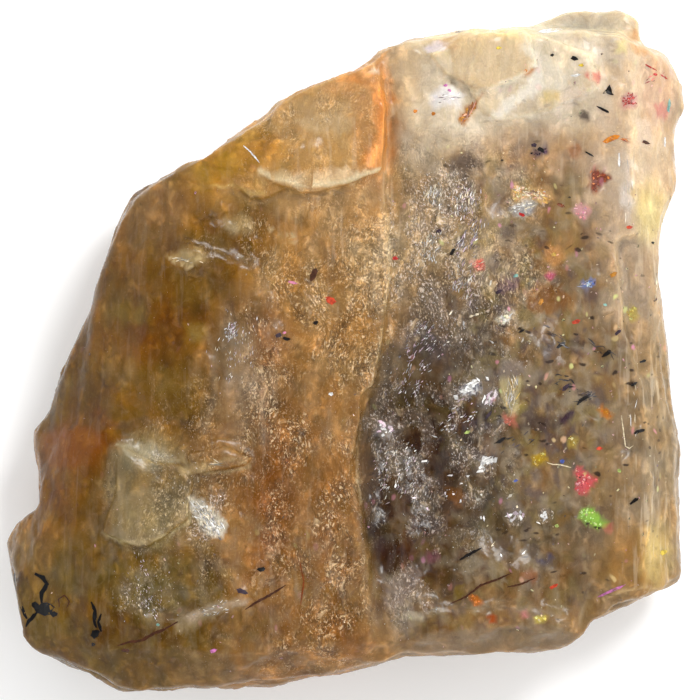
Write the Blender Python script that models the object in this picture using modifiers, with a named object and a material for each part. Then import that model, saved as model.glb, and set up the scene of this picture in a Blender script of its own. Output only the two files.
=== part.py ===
"""Rough sunstone: a broken cleavage slab of feldspar, one solid, lying on its flat lower cleavage face.

Units in the tables are millimetres. X runs along the slab's width, Y along its length, Z up from the face
that it rests on. The slab is stacked from cleavage sheets, its ledges are thinner sheets laid on or cut
away, its rims are broken off along sloping planes, and the whole is then roughened and reduced to facets.
"""

import math
import random

import bmesh
import bpy
from mathutils import Euler, Matrix, Vector, noise

MM = 0.001
NODE_NAME = "rough_sunstone"

# Driving dimensions.
FIELD_TOP = 7.3  # the right-hand field, the level that the rest of the top is stated from
BAND_RISE = 0.55  # the left part stands this much above the right-hand field
LEFT_ROOT = 2.0  # the left part reaches this far below the field, under the dishes' edges
LEFT_INSET = 0.3  # the left part's rim is drawn in by about this much
PLATE_ROOT = 0.4  # plates reach this far below the field
VOXEL = 0.26  # grain of the remeshed body
FACETS = 9800  # triangles kept before the underside is cut off flat
CLEAR = 6.0  # how far a ledge's cutter stands above its floor
BLOCK = 60.0  # side of the blocks that cut planes, larger than the slab
WELD = 0.001  # corners closer than this are one
SEED = 11
CHIP_SPREAD = 5.3  # how far apart neighbouring chips read the noise that sets their heights

# Corners of the broken rim seen from above, from the left shoulder over the top and round.
RIM = [
    (-11.0, 8.0), (-9.7, 8.8), (-8.5, 9.6), (-7.2, 10.2), (-6.3, 10.9), (-4.2, 12.3), (-3.6, 12.9),
    (-1.8, 13.9), (0.3, 14.6), (1.4, 15.1), (1.9, 15.7), (3.4, 16.2), (6.0, 16.7), (9.3, 16.9),
    (14.2, 16.6), (15.5, 15.8), (16.5, 15.5), (16.8, 15.2), (17.45, 13.9), (17.65, 12.6), (17.2, 11.7),
    (17.2, 10.4), (17.3, 8.8), (16.7, 7.4), (16.5, 7.0), (16.3, 4.8), (16.3, 3.6), (16.5, 2.8),
    (16.75, 0.0), (17.35, -4.9), (17.2, -6.7), (17.65, -10.6), (17.65, -11.8), (16.7, -12.4),
    (14.0, -13.2), (13.8, -13.5), (12.7, -14.0), (12.5, -14.7), (11.5, -15.3), (10.1, -15.6),
    (6.6, -15.75), (3.1, -15.8), (1.9, -16.2), (-0.1, -16.85), (-4.3, -17.3), (-10.8, -17.7),
    (-12.0, -17.5), (-13.1, -16.8), (-15.1, -16.0), (-16.0, -15.5), (-16.4, -15.0), (-16.9, -13.6),
    (-17.4, -11.7), (-17.7, -9.8), (-17.2, -9.0), (-16.0, -8.2), (-16.15, -5.2), (-16.25, -4.2),
    (-15.4, -3.1), (-14.8, -1.1), (-13.35, 2.0), (-12.55, 4.3), (-12.1, 5.9), (-11.6, 7.0),
]

# Cleavage sheets that the slab is stacked from: lower face, upper face, how far the rim is drawn in.
SHEETS = [
    (-0.6, 1.5, 1.3),
    (1.2, 2.9, 0.55),
    (2.6, 4.6, 0.0),
    (4.3, 6.0, 0.25),
    (5.7, FIELD_TOP, 0.1),
]

# The left part of the top, up to the long cleavage step that runs down the slab.
BAND = [
    (-18.5, -18.5), (-18.5, 8.0), (-9.0, 10.5), (-4.0, 13.5), (1.6, 17.0), (2.0, 12.0), (2.1, 8.2),
    (2.4, 4.0), (1.9, 1.2), (1.6, -2.0), (1.0, -2.8), (0.7, -4.6), (0.3, -6.2), (0.8, -8.2),
    (1.1, -11.5), (1.4, -14.5), (1.3, -18.5),
]

# Thin sheets left standing on the top: outline and height of the upper face.
PLATES = {
    "amber_plate": (
        [(-7.6, 9.8), (-6.8, 9.6), (-5.6, 9.4), (-4.5, 9.2), (-3.5, 8.7), (-2.4, 8.3), (-1.2, 8.3),
         (0.2, 8.7), (1.2, 9.1), (1.9, 9.3), (2.0, 12.5), (1.5, 15.0), (0.3, 14.4), (-1.8, 13.7),
         (-3.6, 12.7), (-4.2, 12.1), (-6.3, 10.7), (-7.1, 10.0)],
        FIELD_TOP + BAND_RISE + 0.55,
    ),
    "amber_apron": (
        [(-8.9, 9.3), (-8.2, 8.9), (-7.0, 8.5), (-6.2, 8.4), (-5.7, 8.7), (-4.9, 7.9), (-4.1, 8.0),
         (-2.8, 8.6), (-2.0, 11.0), (-6.2, 10.8), (-7.2, 10.0), (-8.4, 9.5)],
        FIELD_TOP + BAND_RISE + 0.38,
    ),
    "shell_plate": (
        [(-11.8, -4.8), (-9.9, -5.7), (-8.6, -5.8), (-7.9, -6.6), (-8.2, -8.6), (-9.2, -9.4),
         (-10.4, -10.1), (-11.5, -9.8), (-12.5, -9.3), (-11.8, -7.0)],
        FIELD_TOP + BAND_RISE + 0.42,
    ),
    "shell_sliver": (
        [(-8.2, -5.3), (-6.2, -4.9), (-4.9, -5.5), (-5.2, -5.8), (-7.8, -6.3)],
        FIELD_TOP + BAND_RISE + 0.4,
    ),
    "corner_plate": (
        [(13.1, 13.7), (11.8, 13.1), (10.7, 12.6), (9.1, 12.1), (7.7, 12.0), (7.0, 12.6), (6.2, 14.0),
         (7.0, 16.4), (10.0, 16.4), (12.6, 15.4)],
        FIELD_TOP + 0.28,
    ),
    "corner_sheet": (
        [(9.8, 14.9), (9.4, 14.5), (8.5, 14.0), (7.4, 13.6), (6.3, 13.9), (5.2, 14.4), (4.4, 15.4),
         (6.2, 16.6), (9.4, 16.6)],
        FIELD_TOP + 0.55,
    ),
    "shoulder_sheet": (
        [(2.2, 15.6), (2.3, 12.4), (3.6, 11.0), (5.4, 11.4), (5.8, 13.2), (4.6, 14.6), (3.6, 16.2)],
        FIELD_TOP + 0.3,
    ),
    "band_sheet": (
        [(-12.2, 3.2), (-10.6, 4.6), (-7.4, 5.2), (-4.6, 4.2), (-3.4, 1.0), (-4.0, -2.4), (-6.4, -4.0),
         (-9.4, -3.4), (-12.4, -3.8), (-13.4, -0.6)],
        FIELD_TOP + BAND_RISE + 0.24,
    ),
    "amber_lip": (
        [(-9.3, 5.4), (-8.6, 5.8), (-7.4, 5.2), (-7.0, 4.4), (-7.9, 4.2), (-9.0, 4.6)],
        FIELD_TOP + BAND_RISE + 0.5,
    ),
    "foot_sheet": (
        [(3.0, -12.6), (6.0, -13.4), (9.6, -13.0), (12.2, -14.2), (11.0, -14.9), (4.0, -15.4)],
        FIELD_TOP + 0.4,
    ),
}

# Sheets broken away from the top: outline and height of the floor that is left.
LEDGES = {
    "side_ledge": (
        [(14.0, 5.8), (15.2, 6.0), (19.0, 5.6), (19.0, -18.0), (15.7, -18.0), (15.9, -8.0), (15.6, -2.0),
         (14.4, 1.5)],
        FIELD_TOP - 0.75,
    ),
    "heel_ledge": (
        [(12.3, -11.9), (14.6, -12.4), (19.0, -11.0), (19.0, -19.0), (11.6, -19.0), (11.9, -13.6)],
        FIELD_TOP - 0.4,
    ),
    "foot_ledge": (
        [(1.4, -15.2), (6.0, -15.2), (11.2, -14.6), (12.0, -19.0), (0.0, -19.0)],
        FIELD_TOP - 0.6,
    ),
}

# The block that stands out at the top right, below the level of the field: outline, lower and upper face.
TAB = [
    (8.6, 15.4), (9.4, 16.9), (10.3, 17.15), (11.5, 17.7), (14.2, 17.65), (15.1, 17.3), (15.2, 16.6),
    (15.6, 15.2), (12.0, 14.6),
]
TAB_LEVELS = (1.6, 5.6)

# Planes that the rims broke off along: a point of the fold, the way it falls, and how steeply.
UPPER_BREAKS = [
    ((-10.6, 1.5, FIELD_TOP + BAND_RISE), 160, 22),
    ((-13.4, -1.8, FIELD_TOP), 166, 54),
    ((-14.2, -7.0, FIELD_TOP + BAND_RISE), 188, 26),
    ((-8.6, 8.0, FIELD_TOP + BAND_RISE), 122, 20),
    ((-3.4, 12.2, FIELD_TOP + BAND_RISE + 0.5), 122, 34),
    ((4.0, 15.0, FIELD_TOP + 0.8), 102, 32),
    ((-13.6, -15.2, FIELD_TOP), 236, 40),
    ((-6.0, -15.6, FIELD_TOP + BAND_RISE), 268, 38),
    ((6.0, -15.0, FIELD_TOP), 276, 48),
    ((15.4, 12.0, FIELD_TOP), 14, 26),
    ((15.9, -4.0, FIELD_TOP - 0.7), 2, 50),
]
LOWER_BREAKS = [
    ((-13.2, 0.0, 0.0), 162, 40),
    ((-4.0, 10.0, 0.0), 124, 34),
    ((8.0, 14.4, 0.0), 95, 30),
    ((15.0, 0.0, 0.0), 0, 46),
    ((8.0, -13.6, 0.0), 285, 34),
    ((-8.0, -15.4, 0.0), 262, 42),
    ((-14.8, -11.0, 0.0), 196, 38),
]

# Shallow dishes that the right-hand field was broken out in: centre, half-axes and turn about Z.
DISHES = [
    ((4.2, -2.2, FIELD_TOP + 1.7), (5.4, 9.6, 2.75), -6),
    ((3.4, -3.4, FIELD_TOP + 0.9), (3.4, 5.6, 1.9), 4),
    ((9.6, -9.2, FIELD_TOP + 1.6), (5.2, 3.4, 2.1), -12),
    ((11.2, 1.8, FIELD_TOP + 2.0), (3.6, 5.2, 2.4), 10),
    ((8.8, 8.4, FIELD_TOP + 1.2), (3.2, 2.2, 1.6), 24),
]

# Pits: centre, half-axes and turn about Z.
PITS = [
    ((6.1, 9.6, FIELD_TOP + 0.2), (1.0, 0.65, 0.5), 8),
    ((2.2, -10.6, FIELD_TOP + 0.1), (0.8, 1.3, 0.55), -14),
    ((1.5, -2.7, FIELD_TOP + 0.1), (0.7, 1.1, 0.5), 24),
    ((-9.0, -13.0, FIELD_TOP + BAND_RISE + 0.3), (1.7, 0.9, 0.75), 12),
    ((8.6, -14.6, FIELD_TOP + 0.1), (1.2, 0.5, 0.5), 10),
]

# Roughness: how far the surface wanders, over what length.
STREAKS = (0.16, 1.2, 5.0)  # depth, length across and length along Y of the cleavage streaks
LUMPS = (0.24, 4.2)  # depth and length of the broad unevenness
CHIPS = (0.12, 1.5, 3.0)  # depth, length across and length along Y of the flat chips


def clear_scene():
    for obj in list(bpy.data.objects):
        bpy.data.objects.remove(obj)


def new_collection(name):
    collection = bpy.data.collections.new(name)
    bpy.context.scene.collection.children.link(collection)
    return collection


def mesh_of(obj):
    """The evaluated mesh of an object, placed in the world."""
    bpy.context.view_layer.update()
    evaluated = obj.evaluated_get(bpy.context.evaluated_depsgraph_get())
    mesh = bpy.data.meshes.new_from_object(evaluated)
    mesh.transform(obj.matrix_world)
    return mesh


def solid(name, mesh, collection):
    bm = bmesh.new()
    bm.from_mesh(mesh)
    bmesh.ops.remove_doubles(bm, verts=bm.verts, dist=WELD * MM)
    bmesh.ops.recalc_face_normals(bm, faces=bm.faces)
    bm.to_mesh(mesh)
    bm.free()
    obj = bpy.data.objects.new(name, mesh)
    collection.objects.link(obj)
    return obj


def sheet(name, outline, low, high, collection):
    """A flat sheet: the outline, filled and extruded between two heights."""
    curve = bpy.data.curves.new(name + "_outline", "CURVE")
    curve.dimensions = "2D"
    curve.fill_mode = "BOTH"
    curve.extrude = (high - low) / 2 * MM
    spline = curve.splines.new("POLY")
    spline.points.add(len(outline) - 1)
    for point, (x, y) in zip(spline.points, outline):
        point.co = (x * MM, y * MM, 0.0, 1.0)
    spline.use_cyclic_u = True
    drawing = bpy.data.objects.new(name + "_drawing", curve)
    drawing.location.z = (high + low) / 2 * MM
    collection.objects.link(drawing)
    made = solid(name, mesh_of(drawing), collection)
    bpy.data.objects.remove(drawing)
    return made


def drawn_in(outline, inset, rng):
    """The outline with each corner moved towards the middle by about inset, each by its own amount."""
    moved = []
    for x, y in outline:
        reach = math.hypot(x, y)
        share = 1 - inset * rng.uniform(0.4, 1.6) / reach
        moved.append((x * share, y * share))
    return moved


def half_space(name, point, azimuth, slope, side, collection):
    """A block whose near face is a plane through point. It falls, or for side -1 climbs, towards azimuth."""
    bpy.ops.mesh.primitive_cube_add(size=BLOCK * MM)
    block = bpy.context.object
    block.name = name
    turn = Euler((0, math.radians(slope * side), math.radians(azimuth))).to_matrix().to_4x4()
    lift = Matrix.Translation((0, 0, BLOCK / 2 * MM * side))
    place = Matrix.Translation(Vector(point) * MM)
    block.data.transform(place @ turn @ lift)
    move_to(block, collection)
    return block


def ellipsoid(name, centre, half_axes, turn, collection):
    """A ball stretched to three half-axes, turned about Z and set at centre."""
    bpy.ops.mesh.primitive_ico_sphere_add(subdivisions=4, radius=MM)
    ball = bpy.context.object
    ball.name = name
    stretch = Matrix.Diagonal((*half_axes, 1.0))
    turned = Matrix.Rotation(math.radians(turn), 4, "Z")
    ball.data.transform(Matrix.Translation(Vector(centre) * MM) @ turned @ stretch)
    move_to(ball, collection)
    return ball


def move_to(obj, collection):
    for owner in list(obj.users_collection):
        owner.objects.unlink(obj)
    collection.objects.link(obj)


def settle(body):
    """Keeps what the modifiers made as the body's own mesh."""
    mesh = mesh_of(body)
    body.modifiers.clear()
    body.data = mesh


def combine(body, other, operation):
    """Joins other to body, or cuts it away."""
    modifier = body.modifiers.new(operation.lower(), "BOOLEAN")
    modifier.operation = operation
    modifier.object = other
    modifier.solver = "EXACT"
    settle(body)
    other.hide_render = True
    other.display_type = "WIRE"


def stacked_slab(parts, cutters):
    """The cleavage sheets joined with the tab, and dished on the right-hand field."""
    rng = random.Random(SEED)
    low, high, inset = SHEETS[0]
    body = sheet(NODE_NAME, drawn_in(RIM, inset, rng), low, high, parts)
    for number, (low, high, inset) in enumerate(SHEETS[1:]):
        layer = sheet(f"sheet_{number}", drawn_in(RIM, inset, rng), low, high, cutters)
        combine(body, layer, "UNION")
    combine(body, sheet("tab", TAB, *TAB_LEVELS, cutters), "UNION")
    for number, (centre, half_axes, turn) in enumerate(DISHES):
        hollow = ellipsoid(f"dish_{number}", centre, half_axes, turn, cutters)
        combine(body, hollow, "DIFFERENCE")
    return body


def build_up_top(body, cutters):
    """The raised left part, the thin plates left standing, and the ledges broken away."""
    rng = random.Random(SEED)
    outline = drawn_in(RIM, LEFT_INSET, rng)
    left = sheet("left_part", outline, FIELD_TOP - LEFT_ROOT, FIELD_TOP + BAND_RISE, cutters)
    combine(left, sheet("band", BAND, 0, FIELD_TOP + CLEAR, cutters), "INTERSECT")
    combine(body, left, "UNION")
    for name, (outline, top) in PLATES.items():
        combine(body, sheet(name, outline, FIELD_TOP - PLATE_ROOT, top, cutters), "UNION")
    for name, (outline, floor) in LEDGES.items():
        combine(body, sheet(name, outline, floor, floor + CLEAR, cutters), "DIFFERENCE")


def break_rims(body, cutters):
    """The upper and lower rims broken off along planes, and the pits in the top."""
    for number, (point, azimuth, slope) in enumerate(UPPER_BREAKS):
        cutter = half_space(f"upper_break_{number}", point, azimuth, slope, 1, cutters)
        combine(body, cutter, "DIFFERENCE")
    for number, (point, azimuth, slope) in enumerate(LOWER_BREAKS):
        cutter = half_space(f"lower_break_{number}", point, azimuth, slope, -1, cutters)
        combine(body, cutter, "DIFFERENCE")
    for number, (centre, half_axes, turn) in enumerate(PITS):
        hollow = ellipsoid(f"pit_{number}", centre, half_axes, turn, cutters)
        combine(body, hollow, "DIFFERENCE")


def remesh(body):
    """Remakes the surface with one even grain, which takes the saw-cut look off the edges."""
    modifier = body.modifiers.new("grain", "REMESH")
    modifier.mode = "VOXEL"
    modifier.voxel_size = VOXEL * MM
    settle(body)


def roughen(body):
    """Moves each point along its normal by streaks along Y, broad lumps and flat chips."""
    streak_depth, across, along = STREAKS
    lump_depth, lump_length = LUMPS
    chip_depth, chip_across, chip_along = CHIPS
    normals = [vertex.normal.copy() for vertex in body.data.vertices]
    for vertex, normal in zip(body.data.vertices, normals):
        x, y, z = vertex.co / MM
        streak = noise.noise((x / across, y / along, z / across))
        lump = noise.noise((x / lump_length, y / lump_length, z / lump_length + SEED))
        centres = noise.voronoi((x / chip_across, y / chip_along, z / chip_across))[1]
        chip = noise.noise(centres[0] * CHIP_SPREAD)
        height = streak_depth * streak + lump_depth * lump + chip_depth * chip
        vertex.co += normal * height * MM


def reduce_to_facets(body):
    """Collapses the even grain to flat facets, which are large where the stone is flat."""
    body.data.update()
    triangles = sum(len(face.vertices) - 2 for face in body.data.polygons)
    modifier = body.modifiers.new("facets", "DECIMATE")
    modifier.ratio = FACETS / triangles
    settle(body)


def rest_flat(body, cutters):
    """Cuts the underside off flat at Z 0 and brings the middle of the outline over the origin."""
    floor = half_space("floor", (0, 0, 0), 0, 0, -1, cutters)
    combine(body, floor, "DIFFERENCE")
    xs = [vertex.co.x for vertex in body.data.vertices]
    ys = [vertex.co.y for vertex in body.data.vertices]
    middle = Vector((min(xs) + max(xs), min(ys) + max(ys), 0)) / 2
    body.data.transform(Matrix.Translation(-middle))


def feldspar():
    """Translucent honey feldspar with a vitreous cleavage surface."""
    material = bpy.data.materials.new("feldspar")
    material.use_nodes = True
    shader = material.node_tree.nodes["Principled BSDF"]
    shader.inputs["Base Color"].default_value = (0.36, 0.22, 0.10, 1.0)
    shader.inputs["Roughness"].default_value = 0.35
    shader.inputs["Metallic"].default_value = 0.0
    shader.inputs["IOR"].default_value = 1.54
    return material


def main():
    clear_scene()
    parts = new_collection("sunstone")
    cutters = new_collection("cutters")
    cutters.hide_render = True
    body = stacked_slab(parts, cutters)
    build_up_top(body, cutters)
    break_rims(body, cutters)
    remesh(body)
    roughen(body)
    reduce_to_facets(body)
    rest_flat(body, cutters)
    body.data.materials.clear()
    body.data.materials.append(feldspar())


main()
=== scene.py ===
"""Looks of a rough sunstone: a broken slab of feldspar with glittering platelets in its skin."""

import math
import random

import bmesh
import bpy
import numpy as np
from bpy.props import FloatProperty, FloatVectorProperty, IntProperty, PointerProperty
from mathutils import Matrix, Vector, noise
from mathutils.bvhtree import BVHTree


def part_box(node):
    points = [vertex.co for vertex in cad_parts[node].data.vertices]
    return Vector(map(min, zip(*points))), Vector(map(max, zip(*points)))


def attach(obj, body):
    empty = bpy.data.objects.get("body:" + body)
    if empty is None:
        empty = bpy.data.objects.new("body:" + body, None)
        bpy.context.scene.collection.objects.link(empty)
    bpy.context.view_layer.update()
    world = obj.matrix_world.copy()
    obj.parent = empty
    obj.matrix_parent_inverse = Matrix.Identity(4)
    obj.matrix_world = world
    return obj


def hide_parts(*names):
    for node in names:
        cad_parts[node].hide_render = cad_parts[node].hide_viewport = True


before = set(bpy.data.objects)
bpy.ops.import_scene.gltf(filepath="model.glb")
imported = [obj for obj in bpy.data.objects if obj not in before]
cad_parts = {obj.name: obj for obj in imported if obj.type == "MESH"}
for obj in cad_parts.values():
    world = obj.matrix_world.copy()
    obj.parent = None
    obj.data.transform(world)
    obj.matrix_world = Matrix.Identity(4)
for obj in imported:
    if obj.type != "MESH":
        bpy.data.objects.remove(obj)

bl_info = {
    "name": "Rough sunstone",
    "version": (1, 0, 0),
    "blender": (4, 5, 0),
    "location": "3D View > Sidebar > Sunstone",
    "description": "Builds the skin, inclusions and stage of a rough sunstone around its packed solid",
    "category": "Object",
}

MM = 0.001
NODE = "rough_sunstone"
BODY = "root"


def linear(hex_colour):
    """An sRGB hex colour as linear RGB."""
    channels = [int(hex_colour[i : i + 2], 16) / 255 for i in (1, 3, 5)]
    return tuple(c / 12.92 if c <= 0.04045 else ((c + 0.055) / 1.055) ** 2.4 for c in channels)


WHITE = (1.0, 1.0, 1.0, 1.0)

# The zones are colours as seen. The skin also mirrors white light, so its body is darker: the mirrored part
# is taken off, down to a least share of the colour, and the rest is scaled for the strength of the light.
MIRRORED = 0.018
LEAST_BODY = 0.35
LIGHTNESS = 0.71

# The body drifts between the first two tints. The thin rims on the right are painted lighter, a painted glow
# for the light that comes through them, and those on the left are painted darker, a painted shade.
WARM = (1.06, 0.98, 0.84)
COOL = (0.96, 1.0, 1.06)
PAINTED_RIM_GLOW = (0.13, 0.13, 0.06)
PAINTED_RIM_SHADE = (0.16, 0.22, 0.4)

# Relief in millimetres: the chips, the small chips and the roughness. It fades in from the floor up to FOOT,
# under which the mesh is thinned. A tread on the sides is SIDE_TREAD times as high as one on the top.
CHIP_RISE = 0.08
SMALL_CHIP_RISE = 0.03
ROUGH_RISE = 0.02
FOOT = 0.4
SIDE_TREAD = 1.2

# The seam between the warm band and the smoky core: its X at each Y, and how far to each side the colours
# change, in millimetres.
SEAM_Y = [-17.5, -15.0, -10.8, -6.1, -4.2, -2.7, -1.9, -1.1, -0.1, 0.8, 1.4, 2.4, 6.0, 18.0]
SEAM_X = [1.6, 1.4, 0.9, 0.6, 0.7, 1.1, 1.3, 1.7, 1.8, 2.4, 2.7, 2.8, 2.4, 2.0]
SEAM_WIDTH = 0.22

# Colour zones of the stone, from the broadest to the smallest: name, centre, half-axes and turn about Z in
# millimetres and degrees, colour, strength, and how soft the edge is as a share of the half-axes. A zone
# whose name starts with "left" or "right" stops at the seam.
ZONES = [
    ("amber left side", (-10.2, 1.2), (5.2, 10.4), -23, "#7d5b29", 0.95, 0.4),
    ("olive foot", (-12.2, -13.4), (7.2, 4.4), 0, "#6c5526", 0.9, 0.45),
    ("left tan band", (-1.3, 2.7), (2.9, 8.6), -3, "#ad8452", 0.85, 0.5),
    ("left salmon band", (-2.6, -9.6), (3.6, 8.8), 0, "#946a40", 0.85, 0.5),
    ("khaki right side", (12.7, -2.5), (6.4, 10.6), 0, "#947c5f", 0.95, 0.4),
    ("pale side strip", (15.8, -3.5), (1.5, 8.4), 0, "#a38b6c", 0.8, 0.5),
    ("right smoky core", (4.5, -5.6), (4.1, 7.6), -8, "#412f20", 0.95, 0.35),
    ("cream corner", (9.6, 14.1), (8.2, 4.4), 8, "#eedcc0", 0.95, 0.45),
    ("rose cream side", (15.0, 9.5), (2.3, 7.4), 0, "#e3c8aa", 0.9, 0.5),
    ("grey tan neck", (2.4, 6.4), (2.6, 3.6), 0, "#b39a76", 0.8, 0.5),
    ("mauve tan", (6.7, 5.8), (2.8, 2.4), 0, "#b8a080", 0.8, 0.5),
    ("amber plate", (-2.9, 11.3), (5.9, 2.9), 28, "#c69a5c", 0.9, 0.4),
    ("gold rim", (-5.8, 10.0), (2.9, 0.95), 27, "#a87c26", 0.9, 0.5),
    ("plate cream", (-1.1, 12.3), (1.8, 1.0), 12, "#cba676", 0.8, 0.6),
    ("plate rust", (-3.4, 10.8), (2.2, 0.8), 16, "#bd8a44", 0.6, 0.6),
    ("rust seam", (1.5, 11.5), (1.0, 3.2), 0, "#dc9655", 0.9, 0.5),
    ("rust core", (2.0, 12.6), (0.3, 2.4), 0, "#e08a3e", 0.5, 0.6),
    ("orange brow", (0.2, 13.9), (1.4, 0.6), 20, "#d9965a", 0.7, 0.6),
    ("tan shoulder", (-0.3, 7.4), (2.7, 1.9), 0, "#c49a68", 0.7, 0.6),
    ("grey shoulder", (-10.2, 7.1), (2.4, 1.4), 20, "#947048", 0.7, 0.6),
    ("amber stain", (-9.7, 1.1), (2.2, 1.6), 0, "#7a4c16", 0.6, 0.6),
    ("dark amber", (-13.6, -4.6), (1.6, 1.5), 0, "#965c18", 0.95, 0.45),
    ("amber edge", (-14.9, -6.9), (2.1, 2.7), 0, "#7f5415", 0.7, 0.6),
    ("olive edge", (-14.3, -2.2), (1.5, 2.2), -20, "#6d5728", 0.6, 0.6),
    ("rose veil", (-5.2, -0.9), (1.9, 3.2), 0, "#97785a", 0.7, 0.6),
    ("rust rib", (-3.7, -7.7), (1.1, 3.2), 0, "#8a5228", 0.6, 0.7),
    ("rust patch", (-3.9, 0.9), (1.0, 1.3), 0, "#97643c", 0.6, 0.6),
    ("left rust foot", (0.0, -15.0), (1.2, 1.6), 0, "#91602f", 0.6, 0.6),
    ("brown foot", (-11.2, -13.9), (2.7, 1.5), 0, "#62461f", 0.8, 0.5),
    ("shell plate", (-10.0, -7.2), (2.3, 2.9), 0, "#8e7b58", 0.8, 0.35),
    ("shell brow", (-10.2, -5.0), (1.6, 0.85), 0, "#9c8c6a", 0.7, 0.6),
    ("shell tip", (-10.2, -9.0), (1.7, 1.0), 0, "#9a8656", 0.7, 0.6),
    ("grey foot", (-10.2, -12.4), (2.1, 1.2), 0, "#7f7048", 0.6, 0.6),
    ("warm shoulder", (10.1, 10.5), (2.9, 1.3), 0, "#b89068", 0.7, 0.6),
    ("ochre spot", (11.1, 5.3), (1.2, 1.3), 0, "#c0905a", 0.7, 0.6),
    ("cream glow", (9.1, 15.2), (3.1, 1.3), 0, "#f4e6cc", 0.8, 0.6),
    ("yellow crest", (7.0, 16.2), (2.6, 0.6), 10, "#e8ce96", 0.7, 0.6),
    ("right smoky upper", (4.9, 0.6), (3.1, 2.6), 0, "#776654", 0.7, 0.6),
    ("smoky right", (10.6, -3.5), (2.3, 1.6), 0, "#6c5c44", 0.7, 0.6),
    ("smoky foot", (8.5, -9.3), (3.1, 2.6), 0, "#6f5f46", 0.7, 0.6),
    ("brown heel", (9.6, -12.4), (4.7, 1.8), 0, "#7c6549", 0.8, 0.6),
    ("right umber seam", (2.2, -10.7), (0.85, 1.3), 0, "#4b2e10", 0.9, 0.5),
    ("right umber streak", (4.1, -9.3), (1.6, 2.1), -20, "#5a3c28", 0.6, 0.6),
    ("amber heel", (14.8, -11.0), (1.4, 1.5), 0, "#b4884f", 0.7, 0.6),
    ("gold heel", (16.1, -10.6), (0.75, 1.6), 0, "#cdb070", 0.8, 0.6),
    ("right lilac break", (2.8, -13.2), (1.25, 1.4), 0, "#8b7a66", 0.8, 0.5),
    ("bright core", (8.7, -2.0), (0.65, 1.6), 0, "#a89068", 0.7, 0.6),
    ("lilac glow", (7.4, -5.5), (0.75, 0.95), 0, "#9c8a78", 0.7, 0.6),
    ("corner block", (12.7, 17.1), (2.5, 0.9), 0, "#d6c8b0", 0.9, 0.4),
    ("dark pit", (6.1, 9.7), (0.8, 0.62), 0, "#7b6350", 0.9, 0.4),
    ("rose rim", (16.3, 13.6), (0.95, 2.1), 0, "#d6ae92", 0.8, 0.6),
    ("gold green rim", (15.8, 7.1), (0.75, 1.5), 0, "#dcc682", 0.7, 0.6),
    ("pearl brow", (5.3, 13.2), (0.78, 0.42), 0, "#fbf4ea", 0.85, 0.4),
    ("white wall", (14.6, 8.6), (0.31, 1.87), 3, "#f8ecdf", 0.7, 0.4),
    ("dark pane", (4.9, 2.7), (0.94, 0.47), -30, "#5b4d46", 0.6, 0.5),
    ("smoke pane", (4.1, 0.4), (1.35, 0.94), 0, "#6a5e5c", 0.6, 0.5),
    ("white gleam foot", (7.5, -2.4), (0.57, 0.36), 30, "#e6dfe0", 0.35, 0.6),
    ("white blot", (2.0, -4.0), (0.52, 0.42), 0, "#d8d0d2", 0.4, 0.6),
    ("lilac cluster", (-5.7, -0.4), (0.9, 2.1), 10, "#9b8a74", 0.55, 0.6),
    ("pale brow", (-5.5, 6.5), (0.73, 0.47), 0, "#c0aa80", 0.7, 0.45),
    ("pale nose", (-8.1, 4.9), (0.95, 0.4), 0, "#c2a878", 0.7, 0.35),
    ("yellow tongue", (-11.2, 2.0), (0.88, 0.57), -20, "#94793c", 0.65, 0.6),
    ("yellow tongue foot", (-7.8, 1.0), (0.62, 0.47), 0, "#9c8244", 0.6, 0.6),
    ("grey tongue", (-9.7, -1.5), (1.77, 0.83), 0, "#80683a", 0.5, 0.45),
    ("shell glow", (-10.3, -5.4), (1.35, 0.62), -10, "#a4977a", 0.6, 0.45),
]

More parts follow.
